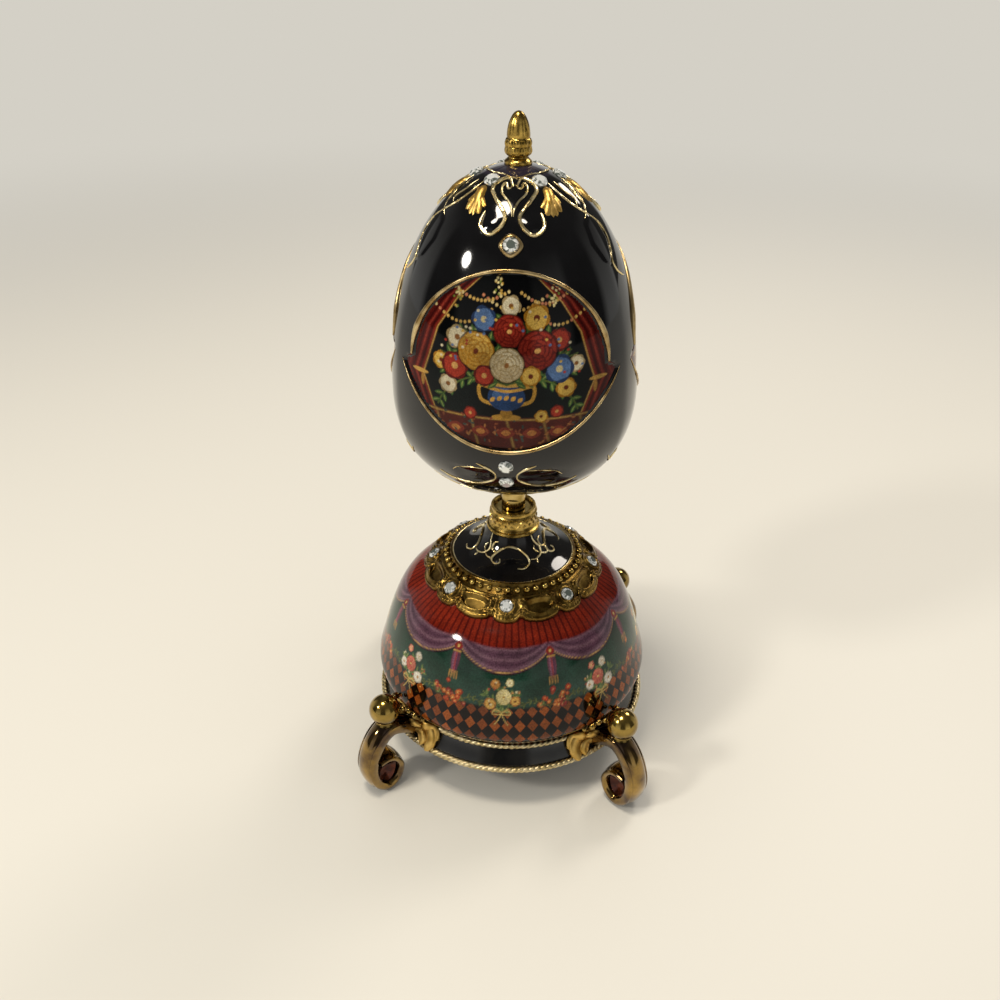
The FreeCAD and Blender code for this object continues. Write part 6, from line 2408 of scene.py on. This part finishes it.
@dataclass
class Finial:
    """Cast finial: moulded foot, a drum with leaf relief and a fluted point."""

    base_z: float = 178.62
    height: float = 12.0
    radius: float = 3.4
    profile_shares: Rows = ((1.0, 0.0), (1.0, 0.05), (0.90, 0.085), (0.76, 0.12), (0.74, 0.15),
                            (0.88, 0.18), (0.98, 0.21), (1.0, 0.26), (0.98, 0.32), (1.0, 0.38),
                            (0.99, 0.43), (0.94, 0.47), (0.84, 0.495), (0.83, 0.52), (0.85, 0.56),
                            (0.83, 0.63), (0.78, 0.71), (0.69, 0.79), (0.56, 0.87), (0.40, 0.935),
                            (0.22, 0.98), (0.0, 1.0))
    leaves: int = 5
    flutes: int = 3
    line: Values = field(init=False)

    def __post_init__(self) -> None:
        """Work out the profile."""
        self.line = smooth_line(self.profile_shares, 4)

    def place(self, across: Values, up: Values) -> Values:
        """Points of the finial with its relief.

        Args:
            across: shares of a turn.
            up: shares of the profile.

        Returns:
            One row per point.
        """
        step = np.linspace(0, 1, len(self.line))
        share = np.interp(up, step, self.line[:, 0])
        height = np.interp(up, step, self.line[:, 1])
        turn = across * FULL_TURN
        drum = soft_step(0.18, 0.22, height) * soft_step(0.49, 0.45, height)
        wave = np.abs(np.sin(turn * self.leaves + (height > 0.33) * 0.5 * math.pi))
        band = hump(height - 0.26, 0.05) + hump(height - 0.40, 0.05)
        leaves = 0.09 * (1 - wave) + 0.03 * (1 - np.clip(band, 0, 1))
        radius = self.radius * share * (1 - drum * leaves)
        point = soft_step(0.52, 0.58, height) * soft_step(0.98, 0.80, height)
        radius = radius * (1 - 0.05 * point * (1 - np.abs(np.cos(turn * self.flutes)) ** 0.6))
        return turned_points(radius, turn, self.base_z + self.height * height)

    def build(self) -> None:
        """Make the finial."""
        body = grid_sheet(120, 96, self.place)
        publish("pointed_finial", body, FINIAL_GILT, Body.EGG, Slot.BRIGHT, "finial", crease=60)


@dataclass
class Works:
    """Surfaces of the CAD pieces that show as they are: spindle, movement, cover."""

    finishes: tuple[tuple[Finish, tuple[str, ...]], ...] = (
        (SPINDLE_BRASS, ("spindle", "spindle_bush")),
        (MOVEMENT_BRASS, ("movement_bridge", "comb_bar", "cylinder_bracket_left", "cylinder_bracket_right",
                          "spring_barrel", "great_wheel", "pinned_cylinder", "cylinder_pinion",
                          "train_wheel", "governor_pinion", "spindle_gear", "crown_wheel",
                          "winding_key")),
        (COMB_STEEL, ("comb", "mainspring", "click", "ratchet_wheel")),
        (SCREW_STEEL, ("cover_screws", "movement_screws", "bridge_screws", "comb_screws", "egg_washer",
                       "egg_nut", "tie_rod", "cylinder_arbor", "governor_shaft", "winding_arbor",
                       "bridge_posts", "governor_fan")),
        (ZINC_CASTING, ("movement_bedplate", "governor_frame")),
        (COVER_COAT, ("bottom_cover",)))

    def build(self) -> None:
        """Give each carried-over node its surface."""
        for finish, names in self.finishes:
            for name in names:
                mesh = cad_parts[name].data
                mesh.materials.clear()
                mesh.materials.append(finish.material())
                log.info("%s: %s", name, finish.name)


# Stage


@dataclass
class Stage:
    """Plain pale floor, soft studio lamps and the camera."""

    focal_px: float = 910.0
    frame_px: float = 1000.0
    sensor_mm: float = 36.0
    pitch: float = 31.7
    roll: float = 0.8
    turn: float = 3.7
    distance: float = 230.0
    height: float = 225.0
    centre_px: float = 513.5
    floor_size: float = 16000.0
    fade_from: float = 250.0
    fade_to: float = 1100.0
    backdrop: str = "#d4d0c6"
    panels: float = 5.0
    aim_z: float = 90.0
    lamps: tuple[tuple[str, Row, float, float, str], ...] = (
        ("ceiling_lamp", (-160, -120, 900), 200, 3.6, "#fff4e2"),
        ("window_lamp", (-620, -420, 640), 130, 3.0, "#fffaf0"),
        ("rear_lamp", (420, 500, 700), 260, 2.4, "#fff6ea"))

    def camera(self) -> None:
        """Camera at the photograph's angle."""
        data = bpy.data.cameras.new("camera")
        data.sensor_width = self.sensor_mm
        data.sensor_fit = "HORIZONTAL"
        data.lens = self.focal_px / self.frame_px * self.sensor_mm
        data.shift_x = -(self.centre_px - self.frame_px / 2) / self.frame_px
        data.clip_start = 0.01
        data.clip_end = 20.0
        camera = bpy.data.objects.new("camera", data)
        bpy.context.scene.collection.objects.link(camera)
        swing = Matrix.Rotation(math.radians(self.turn), 4, "Z")
        place = Matrix.Translation((0, -self.distance * MM, self.height * MM))
        tilt = Matrix.Rotation(math.radians(90.0 - self.pitch), 4, "X")
        lean = Matrix.Rotation(math.radians(self.roll), 4, "Z")
        camera.matrix_world = swing @ place @ tilt @ lean
        bpy.context.scene.camera = camera

    def floor(self) -> None:
        """Pale floor that keeps the object's shadow."""
        bm = bmesh.new()
        bmesh.ops.create_grid(bm, x_segments=1, y_segments=1, size=self.floor_size * MM / 2)
        mesh = bpy.data.meshes.new("floor")
        bm.to_mesh(mesh)
        bm.free()
        plane = bpy.data.objects.new("floor", mesh)
        bpy.context.scene.collection.objects.link(plane)
        material = bpy.data.materials.new("pale_stone_floor")
        material.use_nodes = True
        tree = material.node_tree
        tree.nodes.clear()
        shader = add(tree, "ShaderNodeBsdfPrincipled", {"Base Color": colour("#d2cfc6"), "Roughness": 0.5})
        spot = add(tree, "ShaderNodeTexCoord").outputs["Object"]
        away = add(tree, "ShaderNodeVectorMath", {0: spot}, operation="LENGTH").outputs["Value"]
        far = add(tree, "ShaderNodeMapRange",
                  {"Value": away, "From Min": self.fade_from * MM, "From Max": self.fade_to * MM},
                  interpolation_type="SMOOTHSTEP")
        wall = add(tree, "ShaderNodeEmission", {"Color": colour(self.backdrop)})
        ground = add(tree, "ShaderNodeMixShader", {0: far.outputs["Result"], 1: shader.outputs[0],
                                                   2: wall.outputs[0]})
        below = add(tree, "ShaderNodeNewGeometry").outputs["Backfacing"]
        clear = add(tree, "ShaderNodeBsdfTransparent")
        mix = add(tree, "ShaderNodeMixShader", {0: below, 1: ground.outputs[0], 2: clear.outputs[0]})
        add(tree, "ShaderNodeOutputMaterial", {"Surface": mix.outputs[0]})
        mesh.materials.append(material)

    def world(self) -> None:
        """Pale surroundings for camera, gloss and glass, darker overhead; even light for the rest."""
        world = bpy.data.worlds.new("studio")
        bpy.context.scene.world = world
        world.use_nodes = True
        tree = world.node_tree
        tree.nodes.clear()
        way = add(tree, "ShaderNodeTexCoord").outputs["Generated"]
        axes = add(tree, "ShaderNodeSeparateXYZ", {"Vector": way})
        rise = add(tree, "ShaderNodeMapRange", {"Value": axes.outputs["Z"], "From Min": 0.05,
                                                "From Max": 0.7})
        bearing = add(tree, "ShaderNodeMath", {0: axes.outputs["Y"], 1: axes.outputs["X"]},
                      operation="ARCTAN2")
        swing = add(tree, "ShaderNodeMath", {0: bearing.outputs[0], 1: self.panels}, operation="MULTIPLY")
        wave = add(tree, "ShaderNodeMath", {0: swing.outputs[0]}, operation="SINE")
        panel = add(tree, "ShaderNodeMapRange", {"Value": wave.outputs[0], "From Min": -0.25,
                                                 "From Max": 0.35})
        wall = add(tree, "ShaderNodeMix", {"Factor": panel.outputs["Result"], 6: colour("#4a4946"),
                                           7: colour("#e6e4de")}, data_type="RGBA").outputs[2]
        shine = add(tree, "ShaderNodeMix", {"Factor": rise.outputs["Result"], 6: wall,
                                            7: colour("#5c5a56")}, data_type="RGBA").outputs[2]
        path = add(tree, "ShaderNodeLightPath")
        shiny = add(tree, "ShaderNodeMath", {0: path.outputs["Is Glossy Ray"],
                                             1: path.outputs["Is Transmission Ray"]}, operation="MAXIMUM")
        either = add(tree, "ShaderNodeMath", {0: path.outputs["Is Camera Ray"], 1: shiny.outputs[0]},
                     operation="MAXIMUM")
        seen = add(tree, "ShaderNodeMix", {"Factor": path.outputs["Is Camera Ray"], 6: shine,
                                           7: colour(self.backdrop)}, data_type="RGBA").outputs[2]
        show = add(tree, "ShaderNodeBackground", {"Color": seen, "Strength": 1.0})
        light = add(tree, "ShaderNodeBackground", {"Color": colour("#f4f2ee"), "Strength": 0.7})
        mix = add(tree, "ShaderNodeMixShader", {0: either.outputs[0], 1: light.outputs[0],
                                                2: show.outputs[0]})
        add(tree, "ShaderNodeOutputWorld", {"Surface": mix.outputs[0]})

    def lamp(self, name: str, place: Row, size: float, power: float, code: str) -> None:
        """Round soft lamp that looks at the object's middle.

        Args:
            name: its name.
            place: where it hangs.
            size: diameter.
            power: watts.
            code: hex colour.
        """
        data = bpy.data.lights.new(name, "AREA")
        data.shape = "DISK"
        data.size = size * MM
        data.energy = power
        data.color = colour(code)[:3]
        lamp = bpy.data.objects.new(name, data)
        bpy.context.scene.collection.objects.link(lamp)
        spot = Vector(place) * MM
        aim = (UP * self.aim_z * MM - spot).to_track_quat("-Z", "Y").to_matrix().to_4x4()
        lamp.matrix_world = Matrix.Translation(spot) @ aim

    def build(self) -> None:
        """Set the stage."""
        self.camera()
        self.floor()
        self.world()
        for row in self.lamps:
            self.lamp(*row)
        bpy.context.scene.view_settings.view_transform = "Standard"


def main() -> None:
    """Build the stage and every sub-assembly, and report each piece."""
    logging.basicConfig(level=logging.INFO, format="%(message)s")
    Stage().build()
    for part in (Dome(), Plinth(), Collar(), Neck(), Ferrule(), Foot(), Egg(), Finial(), Works()):
        log.info("%s", type(part).__name__)
        part.build()


if __name__ == "__main__":
    main()
